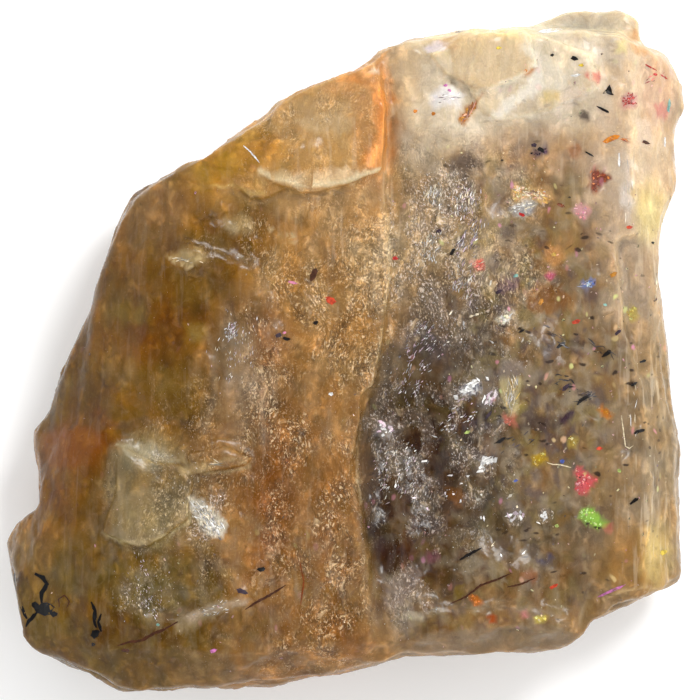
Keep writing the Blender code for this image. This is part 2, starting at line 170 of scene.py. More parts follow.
# Panes: sharp-edged patches where a cleavage plane, a stain or a thin film shows through the skin, each a
# colour, a strength and an outline in millimetres.
PANES = {
    "sand pane": ("#dfc49c", 0.8, [
        (6.3, 16.6), (7.4, 16.3), (8.8, 15.9), (9.8, 14.9), (9.4, 14.5), (7.9, 13.9), (6.7, 13.5),
        (5.6, 14.2), (5.4, 15.6),
    ]),
    "cream pane": ("#fbf2e2", 0.85, [
        (9.8, 14.9), (10.2, 14.6), (10.2, 13.6), (8.9, 12.8), (8.2, 12.1), (7.4, 12.0), (7.9, 12.7),
        (8.6, 13.3), (9.3, 13.7),
    ]),
    "cream brow": ("#f3e7d2", 0.7, [
        (8.9, 16.0), (10.2, 15.4), (11.4, 14.5), (11.4, 13.6), (10.2, 13.6), (10.2, 14.6), (9.8, 15.0),
    ]),
    "side pane": ("#f2dec8", 0.75, [
        (11.39, 13.75), (12.92, 13.67), (12.62, 13.32), (10.93, 12.03), (10.78, 12.37),
    ]),
    "grey pane": ("#d6c6b2", 0.6, [
        (11.39, 16.35), (12.62, 16.19), (14.45, 15.28), (13.99, 14.74), (13.38, 14.97), (12.62, 15.81),
    ]),
    "coral wedge": ("#ee9480", 0.9, [
        (12.19, 14.43), (13.11, 14.43), (13.26, 14.21), (13.05, 13.72), (12.85, 14.1), (12.39, 14.21),
    ]),
    "lemon glow": ("#f2d692", 0.6, [(10.17, 13.44), (11.16, 13.52), (11.09, 12.98), (10.17, 12.98)]),
    "white drop": ("#f8f1ec", 0.8, [
        (4.36, 13.21), (5.12, 13.52), (6.12, 13.36), (5.96, 12.75), (4.51, 12.68),
    ]),
    "lilac drop": ("#f0e2e6", 0.75, [
        (4.05, 15.73), (4.82, 16.12), (5.51, 15.96), (5.12, 15.58), (4.28, 15.51),
    ]),
    "corner wall": ("#e2b07a", 0.8, [
        (14.91, 16.81), (15.25, 16.65), (15.71, 15.35), (15.06, 15.43), (14.68, 16.12),
    ]),
    "lemon pane": ("#f0e2a4", 0.75, [(14.07, 16.12), (14.45, 16.12), (14.53, 15.46), (14.07, 15.51)]),
    "orange blade": ("#c8823a", 0.95, [
        (6.84, 12.98), (7.05, 13.32), (6.56, 12.22), (5.96, 11.7), (5.83, 11.99), (6.27, 12.68),
    ]),
    "orange tip": ("#d9945a", 0.9, [(9.13, 14.36), (9.56, 14.74), (9.74, 14.66), (9.33, 14.24)]),
    "dark pit": ("#84705f", 0.85, [
        (5.4, 9.8), (5.7, 10.2), (6.3, 10.3), (6.7, 10.2), (7.2, 9.8), (7.1, 9.4), (5.9, 9.4), (5.3, 9.5),
    ]),
    "rust triangle": ("#8c4434", 0.95, [
        (12.62, 9.39), (13.0, 9.49), (13.84, 9.01), (13.38, 8.78), (13.0, 8.24), (12.65, 8.47),
    ]),
    "violet patch": ("#665060", 0.85, [
        (9.56, 10.31), (10.02, 10.61), (10.48, 10.53), (10.4, 10.23), (9.71, 10.08),
    ]),
    "dusk patch": ("#86705f", 0.75, [(8.56, 10.53), (8.87, 10.92), (9.25, 11.02), (8.95, 10.53)]),
    "rust patch": ("#b98460", 0.8, [
        (11.55, 10.69), (12.16, 10.76), (12.23, 10.31), (11.78, 10.0), (11.47, 10.38),
    ]),
    "honey brush": ("#eebf80", 0.85, [
        (8.6, 8.7), (9.4, 8.5), (10.3, 8.5), (10.8, 8.0), (10.5, 7.7), (9.4, 7.8), (8.6, 7.8),
    ]),
    "grey brush": ("#cdcac8", 0.8, [(8.49, 7.48), (9.41, 7.86), (9.86, 7.63), (9.71, 7.17), (8.79, 6.86)]),
    "pink glow": ("#f4b4b4", 0.85, [
        (11.78, 7.48), (12.16, 7.75), (12.65, 7.32), (12.46, 6.83), (12.01, 6.91),
    ]),
    "rose dots": ("#dca096", 0.7, [
        (14.22, 13.13), (14.68, 13.44), (15.14, 13.21), (15.06, 12.68), (14.53, 12.52), (14.22, 12.75),
    ]),
    "coral side": ("#d98a7c", 0.8, [
        (15.98, 12.83), (16.59, 13.06), (16.87, 12.68), (16.75, 12.06), (16.13, 12.22),
    ]),
    "grey shard": ("#685a50", 0.9, [(11.96, 12.22), (12.54, 12.58), (12.6, 11.77)]),
    "tan brow": ("#caa478", 0.65, [
        (5.12, 16.5), (6.12, 16.73), (5.96, 16.12), (5.66, 15.51), (4.97, 15.89),
    ]),
    "pale sheet": ("#f0d6bc", 0.65, [(15.06, 11.91), (15.83, 12.22), (15.91, 10.84), (15.14, 10.69)]),
    "pale block": ("#e0ccb2", 0.55, [(13.53, 10.08), (14.45, 10.23), (14.61, 8.7), (13.84, 8.7)]),
    "coral drop": ("#ea6a58", 0.9, [(6.76, 4.73), (7.1, 4.84), (7.19, 4.38), (6.87, 4.18), (6.62, 4.44)]),
    "lilac plate": ("#8a7074", 0.8, [
        (7.8, 3.51), (8.66, 4.03), (9.07, 3.92), (8.95, 3.22), (8.2, 3.11), (7.86, 2.82),
    ]),
    "russet patch": ("#99683a", 0.75, [
        (9.4, 3.2), (9.9, 3.6), (10.9, 3.5), (11.8, 2.7), (11.3, 2.1), (10.4, 2.0), (9.4, 2.1),
    ]),
    "honey stack": ("#dba066", 0.75, [
        (10.28, 5.48), (10.98, 5.48), (11.32, 5.02), (11.21, 4.55), (10.51, 4.55), (10.34, 5.02),
    ]),
    "pink dot": ("#e06a88", 0.9, [
        (10.37, 4.03), (10.69, 4.17), (10.88, 3.98), (10.63, 3.72), (10.37, 3.84),
    ]),
    "blue spark": ("#86a2e6", 0.9, [
        (12.28, 3.51), (12.59, 3.77), (12.96, 3.46), (12.65, 3.3), (12.34, 3.35),
    ]),
    "spark shadow": ("#6d5a58", 0.65, [(12.25, 3.26), (13.0, 3.26), (13.06, 2.47), (12.36, 2.7)]),
    "yellow flake": ("#dec466", 0.8, [
        (14.56, 2.24), (15.02, 2.42), (15.19, 1.78), (14.79, 1.61), (14.56, 1.95),
    ]),
    "white bead": ("#fff8dc", 0.95, [(7.86, 1.78), (8.43, 1.95), (8.57, 1.61), (8.2, 1.47), (7.8, 1.66)]),
    "umber pane": ("#7f6142", 0.6, [
        (10.63, 0.16), (11.78, 0.28), (11.78, -0.76), (10.86, -0.99), (10.51, -0.42),
    ]),
    "umber band": ("#574530", 0.6, [
        (10.6, 0.6), (11.3, 0.7), (13.2, 0.3), (13.9, -0.2), (13.7, -0.4), (12.8, 0.2), (11.3, 0.4),
    ]),
    "pearl glow": ("#9b8d84", 0.65, [
        (7.86, -0.99), (8.2, -0.42), (9.01, -0.42), (9.36, -0.99), (8.78, -1.34), (7.97, -1.34),
    ]),
    "gold brush": ("#e6d29c", 0.8, [
        (8.03, -1.46), (9.07, -1.28), (8.95, -2.5), (8.84, -3.42), (8.43, -3.3), (8.09, -2.26),
    ]),
    "pink foot": ("#dc866c", 0.8, [(8.09, -3.3), (8.66, -3.19), (8.8, -3.65), (8.32, -3.85)]),
    "foil gleam": ("#b6bac8", 0.65, [
        (5.6, -2.15), (6.12, -1.69), (7.16, -1.57), (7.1, -1.92), (6.35, -2.32),
    ]),
    "violet shade": ("#5c4c46", 0.75, [
        (8.9, -3.65), (9.94, -3.3), (10.98, -3.42), (11.32, -3.77), (10.86, -4.0), (9.01, -4.0),
    ]),
    "violet lozenge": ("#523e4a", 0.95, [(10.92, -3.56), (11.78, -2.94), (11.95, -3.25), (11.21, -3.74)]),
    "olive glow": ("#aa9b50", 0.7, [(8.84, -2.73), (9.18, -2.61), (9.47, -2.84), (9.13, -3.13)]),
    "orange plate": ("#e08c2c", 0.95, [(13.03, -3.02), (13.46, -2.88), (13.81, -3.36), (13.52, -3.44)]),
    "dusk drop": ("#36281e", 0.95, [
        (14.65, -1.57), (14.9, -1.46), (15.1, -1.63), (14.96, -1.83), (14.71, -1.8),
    ]),
    "umber pit": ("#4a2f18", 0.8, [
        (1.49, -9.97), (2.11, -9.73), (2.98, -10.22), (3.1, -10.96), (2.23, -11.58), (1.62, -10.96),
    ]),
    "tawny patch": ("#8a5826", 0.8, [
        (5.21, -7.13), (5.95, -7.0), (6.2, -7.75), (5.7, -8.06), (5.33, -7.62),
    ]),
    "pale node": ("#92857a", 0.6, [
        (8.18, -7.75), (8.92, -7.62), (9.29, -8.24), (8.8, -8.61), (8.42, -8.49),
    ]),
    "yellow plate": ("#cda638", 0.9, [
        (9.72, -5.39), (10.28, -5.12), (10.43, -5.58), (9.97, -5.91), (9.64, -5.76),
    ]),
    "grey panes": ("#83735c", 0.6, [
        (3.97, -9.73), (4.83, -9.36), (5.95, -8.98), (6.57, -9.48), (5.7, -9.97), (4.46, -9.97),
    ]),
    "pale ridge": ("#a2927a", 0.65, [
        (5.82, -10.96), (6.69, -10.47), (7.31, -10.84), (6.57, -11.46), (5.95, -11.46),
    ]),
    "pink stain": ("#94606a", 0.75, [(4.03, -10.47), (4.71, -10.22), (4.86, -10.72), (4.34, -10.99)]),
    "grey lozenge": ("#58505e", 0.95, [
        (9.89, -10.87), (10.53, -10.51), (10.95, -10.35), (10.65, -10.74), (10.03, -11.05),
    ]),
    "coral foot": ("#a86e4c", 0.65, [(9.04, -11.46), (9.91, -11.34), (9.91, -11.83), (9.17, -11.77)]),
    "orange bar": ("#ca722a", 0.9, [(6.32, -12.57), (6.69, -12.49), (7.09, -12.95), (6.69, -13.16)]),
    "rust bar": ("#b4522a", 0.85, [(7.31, -13.69), (7.68, -13.54), (7.95, -13.94), (7.56, -14.08)]),
    "olive pane": ("#8d7636", 0.6, [(5.58, -12.2), (6.07, -12.08), (6.2, -12.7), (5.7, -12.95)]),
    "yellow bar": ("#e6d05c", 0.95, [(9.69, -13.75), (10.28, -13.52), (10.5, -13.81), (10.03, -14.02)]),
    "pink bead": ("#d48c88", 0.8, [(9.04, -13.44), (9.42, -13.38), (9.48, -13.69), (9.17, -13.75)]),
    "lilac sheet": ("#97857a", 0.65, [
        (1.86, -12.45), (2.61, -11.46), (3.47, -10.96), (3.97, -11.46), (3.6, -12.2), (2.36, -13.81),
    ]),
    "white fold": ("#d2c4a8", 0.6, [
        (2.61, -13.69), (3.35, -13.44), (4.09, -13.59), (3.99, -13.84), (2.98, -13.84),
    ]),
    "heel rim": ("#8f7b64", 0.6, [
        (4.5, -14.4), (7.2, -14.3), (10.2, -14.2), (12.5, -14.7), (12.3, -15.4), (6.9, -15.9),
        (2.6, -15.9),
    ]),
    "coral plate": ("#ee6e70", 0.97, [
        (11.86, -6.09), (12.1, -5.96), (12.47, -6.27), (13.04, -6.57), (12.73, -6.92), (12.42, -7.33),
        (12.02, -7.38), (11.86, -7.0), (12.0, -6.66),
    ]),
    "lime plate": ("#a4d25a", 0.97, [
        (12.07, -8.3), (12.28, -8.07), (12.8, -8.11), (13.16, -8.48), (13.25, -8.91), (13.06, -9.15),
        (12.69, -8.93), (12.17, -8.62),
    ]),
    "rose foot": ("#c0705c", 0.75, [(13.23, -8.91), (13.75, -8.78), (13.92, -9.26), (13.4, -9.36)]),
    "ochre foot": ("#8e6a34", 0.6, [
        (10.89, -8.56), (11.76, -8.04), (12.02, -8.22), (11.58, -8.74), (11.06, -9.08),
    ]),
    "gold grain": ("#cdb050", 0.8, [
        (11.45, -4.58), (11.67, -4.32), (12.06, -4.49), (11.93, -4.88), (11.54, -4.84),
    ]),
    "shell brow pane": ("#b4a88a", 0.7, [
        (-11.59, -4.88), (-10.17, -4.53), (-8.99, -5.24), (-8.59, -5.76), (-10.17, -5.59), (-11.23, -5.47),
    ]),
    "shell panes": ("#968669", 0.5, [
        (-11.4, -7.4), (-10.2, -6.9), (-8.5, -7.6), (-7.8, -8.3), (-10.4, -9.9), (-12.3, -9.5),
        (-11.6, -8.5),
    ]),
    "sliver pane": ("#c6ac7c", 0.6, [(-8.63, -5.95), (-6.15, -5.78), (-7.57, -6.23), (-8.52, -6.35)]),
    "fold sheet": ("#a4906f", 0.65, [(-8.99, -13.98), (-6.15, -12.68), (-6.03, -13.27), (-8.52, -14.62)]),
    "amber block": ("#8f5614", 0.5, [
        (-15.84, -4.29), (-13.24, -3.82), (-12.3, -4.77), (-13.24, -5.95), (-15.37, -5.95),
    ]),
    "pale stripe": ("#d6bc92", 0.65, [
        (-2.7, 11.95), (-0.81, 12.42), (0.54, 11.95), (0.13, 11.31), (-1.99, 11.43),
    ]),
    "tan plate": ("#bf9c6c", 0.5, [
        (-4.1, 11.6), (-2.9, 13.5), (-0.8, 14.2), (1.3, 13.7), (1.6, 11.4), (0.4, 9.5), (-2.0, 9.5),
    ]),
    "lip glow": ("#f4d6ac", 0.7, [
        (-4.0, 9.35), (-1.99, 8.47), (-0.57, 8.71), (0.61, 9.18), (0.13, 9.58), (-1.99, 9.11),
    ]),
    # The foil is painted pale: a painted highlight of a glossy cleavage foil.
    "foil": ("#ece2cc", 0.85, [
        (-8.2, -7.5), (-7.4, -7.7), (-6.7, -8.2), (-6.1, -8.9), (-6.3, -9.5), (-6.8, -9.6), (-7.5, -9.1),
        (-7.8, -8.5),
    ]),
    "gold left": ("#b3863a", 0.65, [(-6.96, 9.94), (-5.77, 10.22), (-5.02, 9.46), (-6.01, 9.06)]),
}

# Where the skin glitters, glints silver, holds dark specks and dyed films, is streaked by pale striae, and is
# clear: centre, half-axes, turn, amount and softness, in the units of the zones. The base amounts are
# everywhere.
BASE_AMOUNTS = {"glitter": 0.02, "silver": 0.0, "specks": 0.05, "striae": 0.12, "clear": 0.0}
AMOUNTS = {
    "glitter": [
        ((-1.3, -5.5), (5.2, 11.0), 0, 1.0, 0.4),
        ((-2.5, 5.2), (4.6, 3.6), 0, 0.5, 0.5),
        ((-7.0, -8.0), (4.0, 7.0), 0, 0.6, 0.5),
        ((-12.0, 0.0), (3.5, 13.0), -20, 0.04, 0.5),
        ((5.2, 4.0), (5.4, 6.4), 0, 1.0, 0.5),
        ((-9.8, -7.2), (2.4, 3.0), 0, 0.5, 0.5),
        ((9.5, -6.0), (4.5, 8.0), 0, 0.45, 0.5),
        ((-2.0, 11.2), (4.6, 2.6), 25, 0.5, 0.5),
        ((10.0, 14.0), (8.0, 3.6), 0, 0.1, 0.5),
        ((15.0, 2.0), (2.5, 14.0), 0, 0.15, 0.5),
    ],
    "silver": [
        ((4.8, -4.6), (3.6, 5.6), 0, 0.85, 0.5),
        ((5.6, 0.6), (3.6, 2.4), 0, 0.7, 0.5),
        ((5.0, 5.0), (2.6, 4.4), 0, 1.5, 0.5),
        ((-9.2, -6.2), (1.6, 1.6), 0, 0.5, 0.6),
        ((-7.1, -8.4), (0.75, 1.25), -30, 3.0, 0.5),
        ((-10.3, -12.6), (1.6, 1.1), 0, 0.8, 0.6),
        ((8.2, 1.7), (0.4, 0.3), 0, 3.0, 0.6),
        ((6.4, -2.0), (0.9, 0.35), 30, 3.0, 0.6),
        ((7.3, -2.4), (0.6, 0.35), 20, 2.6, 0.6),
        ((7.4, -5.6), (0.7, 0.7), 0, 2.4, 0.6),
        ((3.9, -6.6), (0.8, 1.1), 0, 1.3, 0.6),
        ((8.7, -8.5), (0.5, 0.3), 0, 2.4, 0.6),
        ((10.4, -8.4), (0.3, 0.3), 0, 2.4, 0.6),
        ((1.6, -4.2), (0.7, 1.2), 0, 1.2, 0.6),
        ((3.6, -12.6), (1.5, 1.8), 0, 0.7, 0.6),
    ],
    "specks": [
        ((11.6, -3.0), (5.0, 11.5), 0, 1.0, 0.35),
        ((8.0, 6.5), (5.5, 5.0), 0, 0.7, 0.4),
        ((4.6, -6.0), (3.2, 9.0), 0, 0.45, 0.4),
        ((-5.0, -11.5), (5.5, 4.0), 0, 0.2, 0.5),
        ((11.0, 14.0), (6.0, 3.0), 0, 0.25, 0.5),
    ],
    "striae": [
        ((15.8, -1.0), (1.8, 13.0), 0, 1.0, 0.5),
        ((11.0, 12.5), (6.0, 5.0), 0, 0.6, 0.5),
        ((0.6, 7.0), (4.0, 6.0), 0, 0.5, 0.5),
        ((-2.0, -9.0), (3.0, 9.0), 0, 0.25, 0.5),
    ],
    "clear": [
        ((5.0, -5.0), (4.6, 8.0), -6, 1.0, 0.5),
        ((12.0, 2.0), (5.0, 14.0), 0, 0.6, 0.5),
        ((-12.0, -2.0), (3.5, 9.0), -20, 0.5, 0.5),
    ],
}

# Where iron stain and smoke cloud the body, as above, and how much of it there is at least. Each kind of
# cloud has a colour, patches a millimetre, and a shift that sets it apart from the others.
BLOTCHES = [
    ((9.8, -1.0), (4.6, 8.5), 0, 1.0, 0.4),
    ((8.0, 7.5), (4.5, 3.5), 0, 0.8, 0.4),
    ((7.0, -12.0), (6.0, 3.5), 0, 0.6, 0.4),
    ((4.6, -6.0), (3.0, 8.0), 0, 0.35, 0.4),
    ((-6.0, -12.0), (8.0, 4.0), 0, 0.35, 0.5),
    ((12.0, 13.0), (5.0, 3.0), 0, 0.15, 0.5),
]
LEAST_BLOTCHES = 0.1
BLOTCH_COLOURS = (
    ("#8a6038", 1.3, 50.0), ("#5f5660", 1.2, 60.0), ("#9c8a58", 1.0, 70.0), ("#b8a890", 1.6, 80.0),
)

# Pale lips, folds, crests and glints, painted highlights for the light that their edges catch, and two pale
# veils of the stone's own colour: name, width in millimetres, strength, colour and points.
LIP_HIGHLIGHTS_AND_VEILS = [
    ("amber plate lip", 0.47, 0.85, "#efdcb4", [
        (-4.5, 9.3), (-3.5, 8.9), (-2.2, 8.5), (-1.0, 8.6), (0.2, 8.8), (1.0, 9.2), (2.0, 9.4),
    ]),
    ("apron lip", 0.26, 0.6, "#dcb870", [
        (-7.3, 8.9), (-6.4, 8.5), (-5.9, 8.7), (-5.5, 8.4), (-5.0, 8.1), (-4.1, 8.2),
    ]),
    ("seam lip", 0.21, 0.6, "#f0c294", [(2.1, 15.2), (2.1, 13.6), (2.1, 12.1), (2.1, 10.5), (2.1, 9.4)]),
    ("white notch", 0.26, 0.7, "#fff2dc", [(1.0, 15.0), (1.3, 14.7), (1.6, 14.4)]),
    ("brow scale", 0.2, 0.75, "#e2c894", [(-9.2, 4.9), (-8.7, 4.6), (-8.1, 4.4), (-7.6, 4.6), (-7.3, 4.9)]),
    ("brow ripple", 0.18, 0.6, "#e6cfa0", [(-4.0, 6.3), (-3.5, 6.1), (-2.8, 6.0)]),
    ("brow ripple foot", 0.16, 0.6, "#e6cfa0", [(-3.1, 5.9), (-2.7, 5.7), (-2.4, 5.6)]),
    ("shell foot", 0.26, 0.7, "#cdbb8c", [
        (-12.6, -9.3), (-11.5, -9.7), (-10.4, -9.9), (-9.2, -9.4), (-8.1, -8.6), (-8.2, -7.7),
    ]),
    ("shell brow", 0.26, 0.55, "#c4b590", [(-11.9, -4.8), (-11.0, -4.9), (-10.2, -5.2), (-9.3, -5.7)]),
    ("sliver edge", 0.21, 0.55, "#c2ac7e", [
        (-9.3, -5.6), (-8.8, -5.6), (-7.4, -5.8), (-6.0, -5.6), (-4.8, -6.0), (-6.2, -6.3), (-7.6, -6.2),
    ]),
    ("corner lip", 0.21, 0.6, "#fff3da", [(9.9, 15.1), (9.4, 14.5), (8.4, 13.9), (7.4, 13.6)]),
    ("corner fold", 0.23, 0.6, "#fdf0d6", [
        (13.1, 13.7), (12.0, 13.1), (10.7, 12.6), (9.5, 12.2), (8.3, 12.1), (7.6, 12.0),
    ]),
    ("corner crest", 0.21, 0.45, "#f6e6c8", [
        (3.9, 14.9), (4.9, 14.3), (6.0, 13.9), (7.0, 13.2), (7.3, 12.5),
    ]),
    ("foot fold", 0.65, 0.8, "#bda890", [(-8.1, -13.8), (-7.3, -13.5), (-6.4, -13.2), (-5.3, -12.9)]),
    ("foot ripple", 0.31, 0.4, "#a89878", [(-11.7, -12.4), (-10.7, -12.0), (-9.9, -11.4), (-9.0, -11.1)]),
    ("heel lip", 0.21, 0.5, "#e0c08c", [(13.4, -12.8), (14.4, -12.3), (15.5, -12.1), (16.8, -12.4)]),
    ("heel step", 0.21, 0.35, "#cdb288", [(12.3, -10.8), (12.7, -11.7), (12.6, -12.8), (12.0, -14.0)]),
    ("seam glint", 0.18, 0.55, "#dcbc8c", [(0.8, -3.7), (0.6, -4.9), (0.6, -6.1), (0.8, -7.7)]),
    ("side step", 0.21, 0.5, "#e8d2b0", [(16.4, 6.0), (16.2, 4.7), (16.2, 3.2), (16.4, 1.7)]),
    ("side crest", 0.21, 0.4, "#d8bc90", [(16.1, 0.0), (16.3, -2.5), (16.6, -5.1), (16.4, -7.7)]),
    ("left veil", 0.52, 0.3, "#a6947c", [(-7.3, 1.1), (-6.8, -0.2), (-6.8, -2.0), (-7.2, -4.1)]),
    ("middle veil", 0.73, 0.3, "#a88e76", [(-5.7, 0.1), (-5.0, -1.2), (-4.3, -3.0), (-4.2, -4.6)]),
]

# Thin scales standing on the top: height in millimetres and outline.
SCALES = {
    "amber plate": (0.12, [
        (-7.6, 9.8), (-6.8, 9.6), (-5.6, 9.4), (-4.5, 9.2), (-3.5, 8.7), (-2.4, 8.3), (-1.2, 8.3),
        (0.2, 8.7), (1.2, 9.1), (1.9, 9.3), (2.0, 12.5), (1.5, 15.0), (0.3, 14.4), (-1.8, 13.7),
        (-3.6, 12.7), (-4.2, 12.1), (-6.3, 10.7), (-7.1, 10.0),
    ]),
    "amber apron": (0.1, [
        (-8.9, 9.3), (-8.2, 8.9), (-7.0, 8.5), (-6.2, 8.4), (-5.7, 8.7), (-4.9, 7.9), (-4.1, 8.0),
        (-2.8, 8.6), (-2.0, 11.0), (-6.2, 10.8), (-7.2, 10.0), (-8.4, 9.5),
    ]),
    "shell plate": (0.12, [
        (-11.8, -4.8), (-9.9, -5.7), (-8.6, -5.8), (-7.9, -6.6), (-8.2, -8.6), (-9.2, -9.4),
        (-10.4, -10.1), (-11.5, -9.8), (-12.5, -9.3), (-11.8, -7.0),
    ]),
    "shell sliver": (0.12, [(-8.2, -5.3), (-6.2, -4.9), (-4.9, -5.5), (-5.2, -5.8), (-7.8, -6.3)]),
    "corner plate": (0.12, [
        (13.1, 13.7), (11.8, 13.1), (10.7, 12.6), (9.1, 12.1), (7.7, 12.0), (7.0, 12.6), (6.2, 14.0),
        (7.0, 16.4), (10.0, 16.4), (12.6, 15.4),
    ]),
    "corner sheet": (0.12, [
        (9.8, 14.9), (9.4, 14.5), (8.5, 14.0), (7.4, 13.6), (6.3, 13.9), (5.2, 14.4), (4.4, 15.4),
        (6.2, 16.6), (9.4, 16.6),
    ]),
}

# Colours of the platelets: iron oxide is black to red, and thin films add the bright hues.
HUES = {
    "black": "#2c2420", "soot": "#0e0c0c", "violet": "#4c4048", "indigo": "#5a68a8", "oxblood": "#54382a",
    "rust": "#8a4b2c", "amber": "#c98a3e", "gold": "#d9b25e", "yellow": "#e0c24a", "lime": "#b0c070",
    "orange": "#dd8a3a", "scarlet": "#d0523a", "red": "#c03a38", "coral": "#f08074", "salmon": "#dca08c",
    "pink": "#d88aa4", "magenta": "#cc7ab0", "lilac": "#cdb0bc", "teal": "#8cb4a8", "silver": "#f6f3ee",
    "cream": "#eedcb8",
}

# Bright panes lie broken, with crumbs of these colours over them: how many a square millimetre, and
# about the least and the greatest half-length of one, in millimetres, follow.
CRUMBLED = {
    "coral plate": ("#f07a78", "#f6a8a4", "#d85458"), "lime plate": ("#b4dc66", "#d6ec98", "#86b844"),
    "coral wedge": ("#f0a08c", "#f4c4b4"), "rust triangle": ("#a4553a", "#7a3428", "#d98a50"),
    "yellow plate": ("#d8b848", "#f0dc90", "#a88428"), "yellow bar": ("#ecdc74", "#fff4b0"),
    "orange plate": ("#e89838", "#c8702c"), "orange blade": ("#d09048", "#b4702c"),
    "coral drop": ("#f08070", "#f4b49c"), "pink dot": ("#e88aa0",),
    "blue spark": ("#a8c0f4", "#6c84c8", "#e8ecff"), "white bead": ("#fffbe8", "#f4eccc"),
    "yellow flake": ("#e6d080", "#cbb054"), "orange bar": ("#d88440",),
    "violet patch": ("#54404c", "#2c2228", "#7c6068"), "honey brush": ("#f0cc94", "#f8e4bc", "#e0a45c"),
    "pink glow": ("#f8cccc", "#f0a0a8"), "rose dots": ("#c05048", "#a83c38", "#e0a49c"),
    "pink foot": ("#e89c84", "#c86c58"), "gold grain": ("#dcc468", "#f0e0a0", "#a08434"),
}
CRUMBS_PER_MM2 = 60
CRUMB_SIZES = (0.03, 0.11)

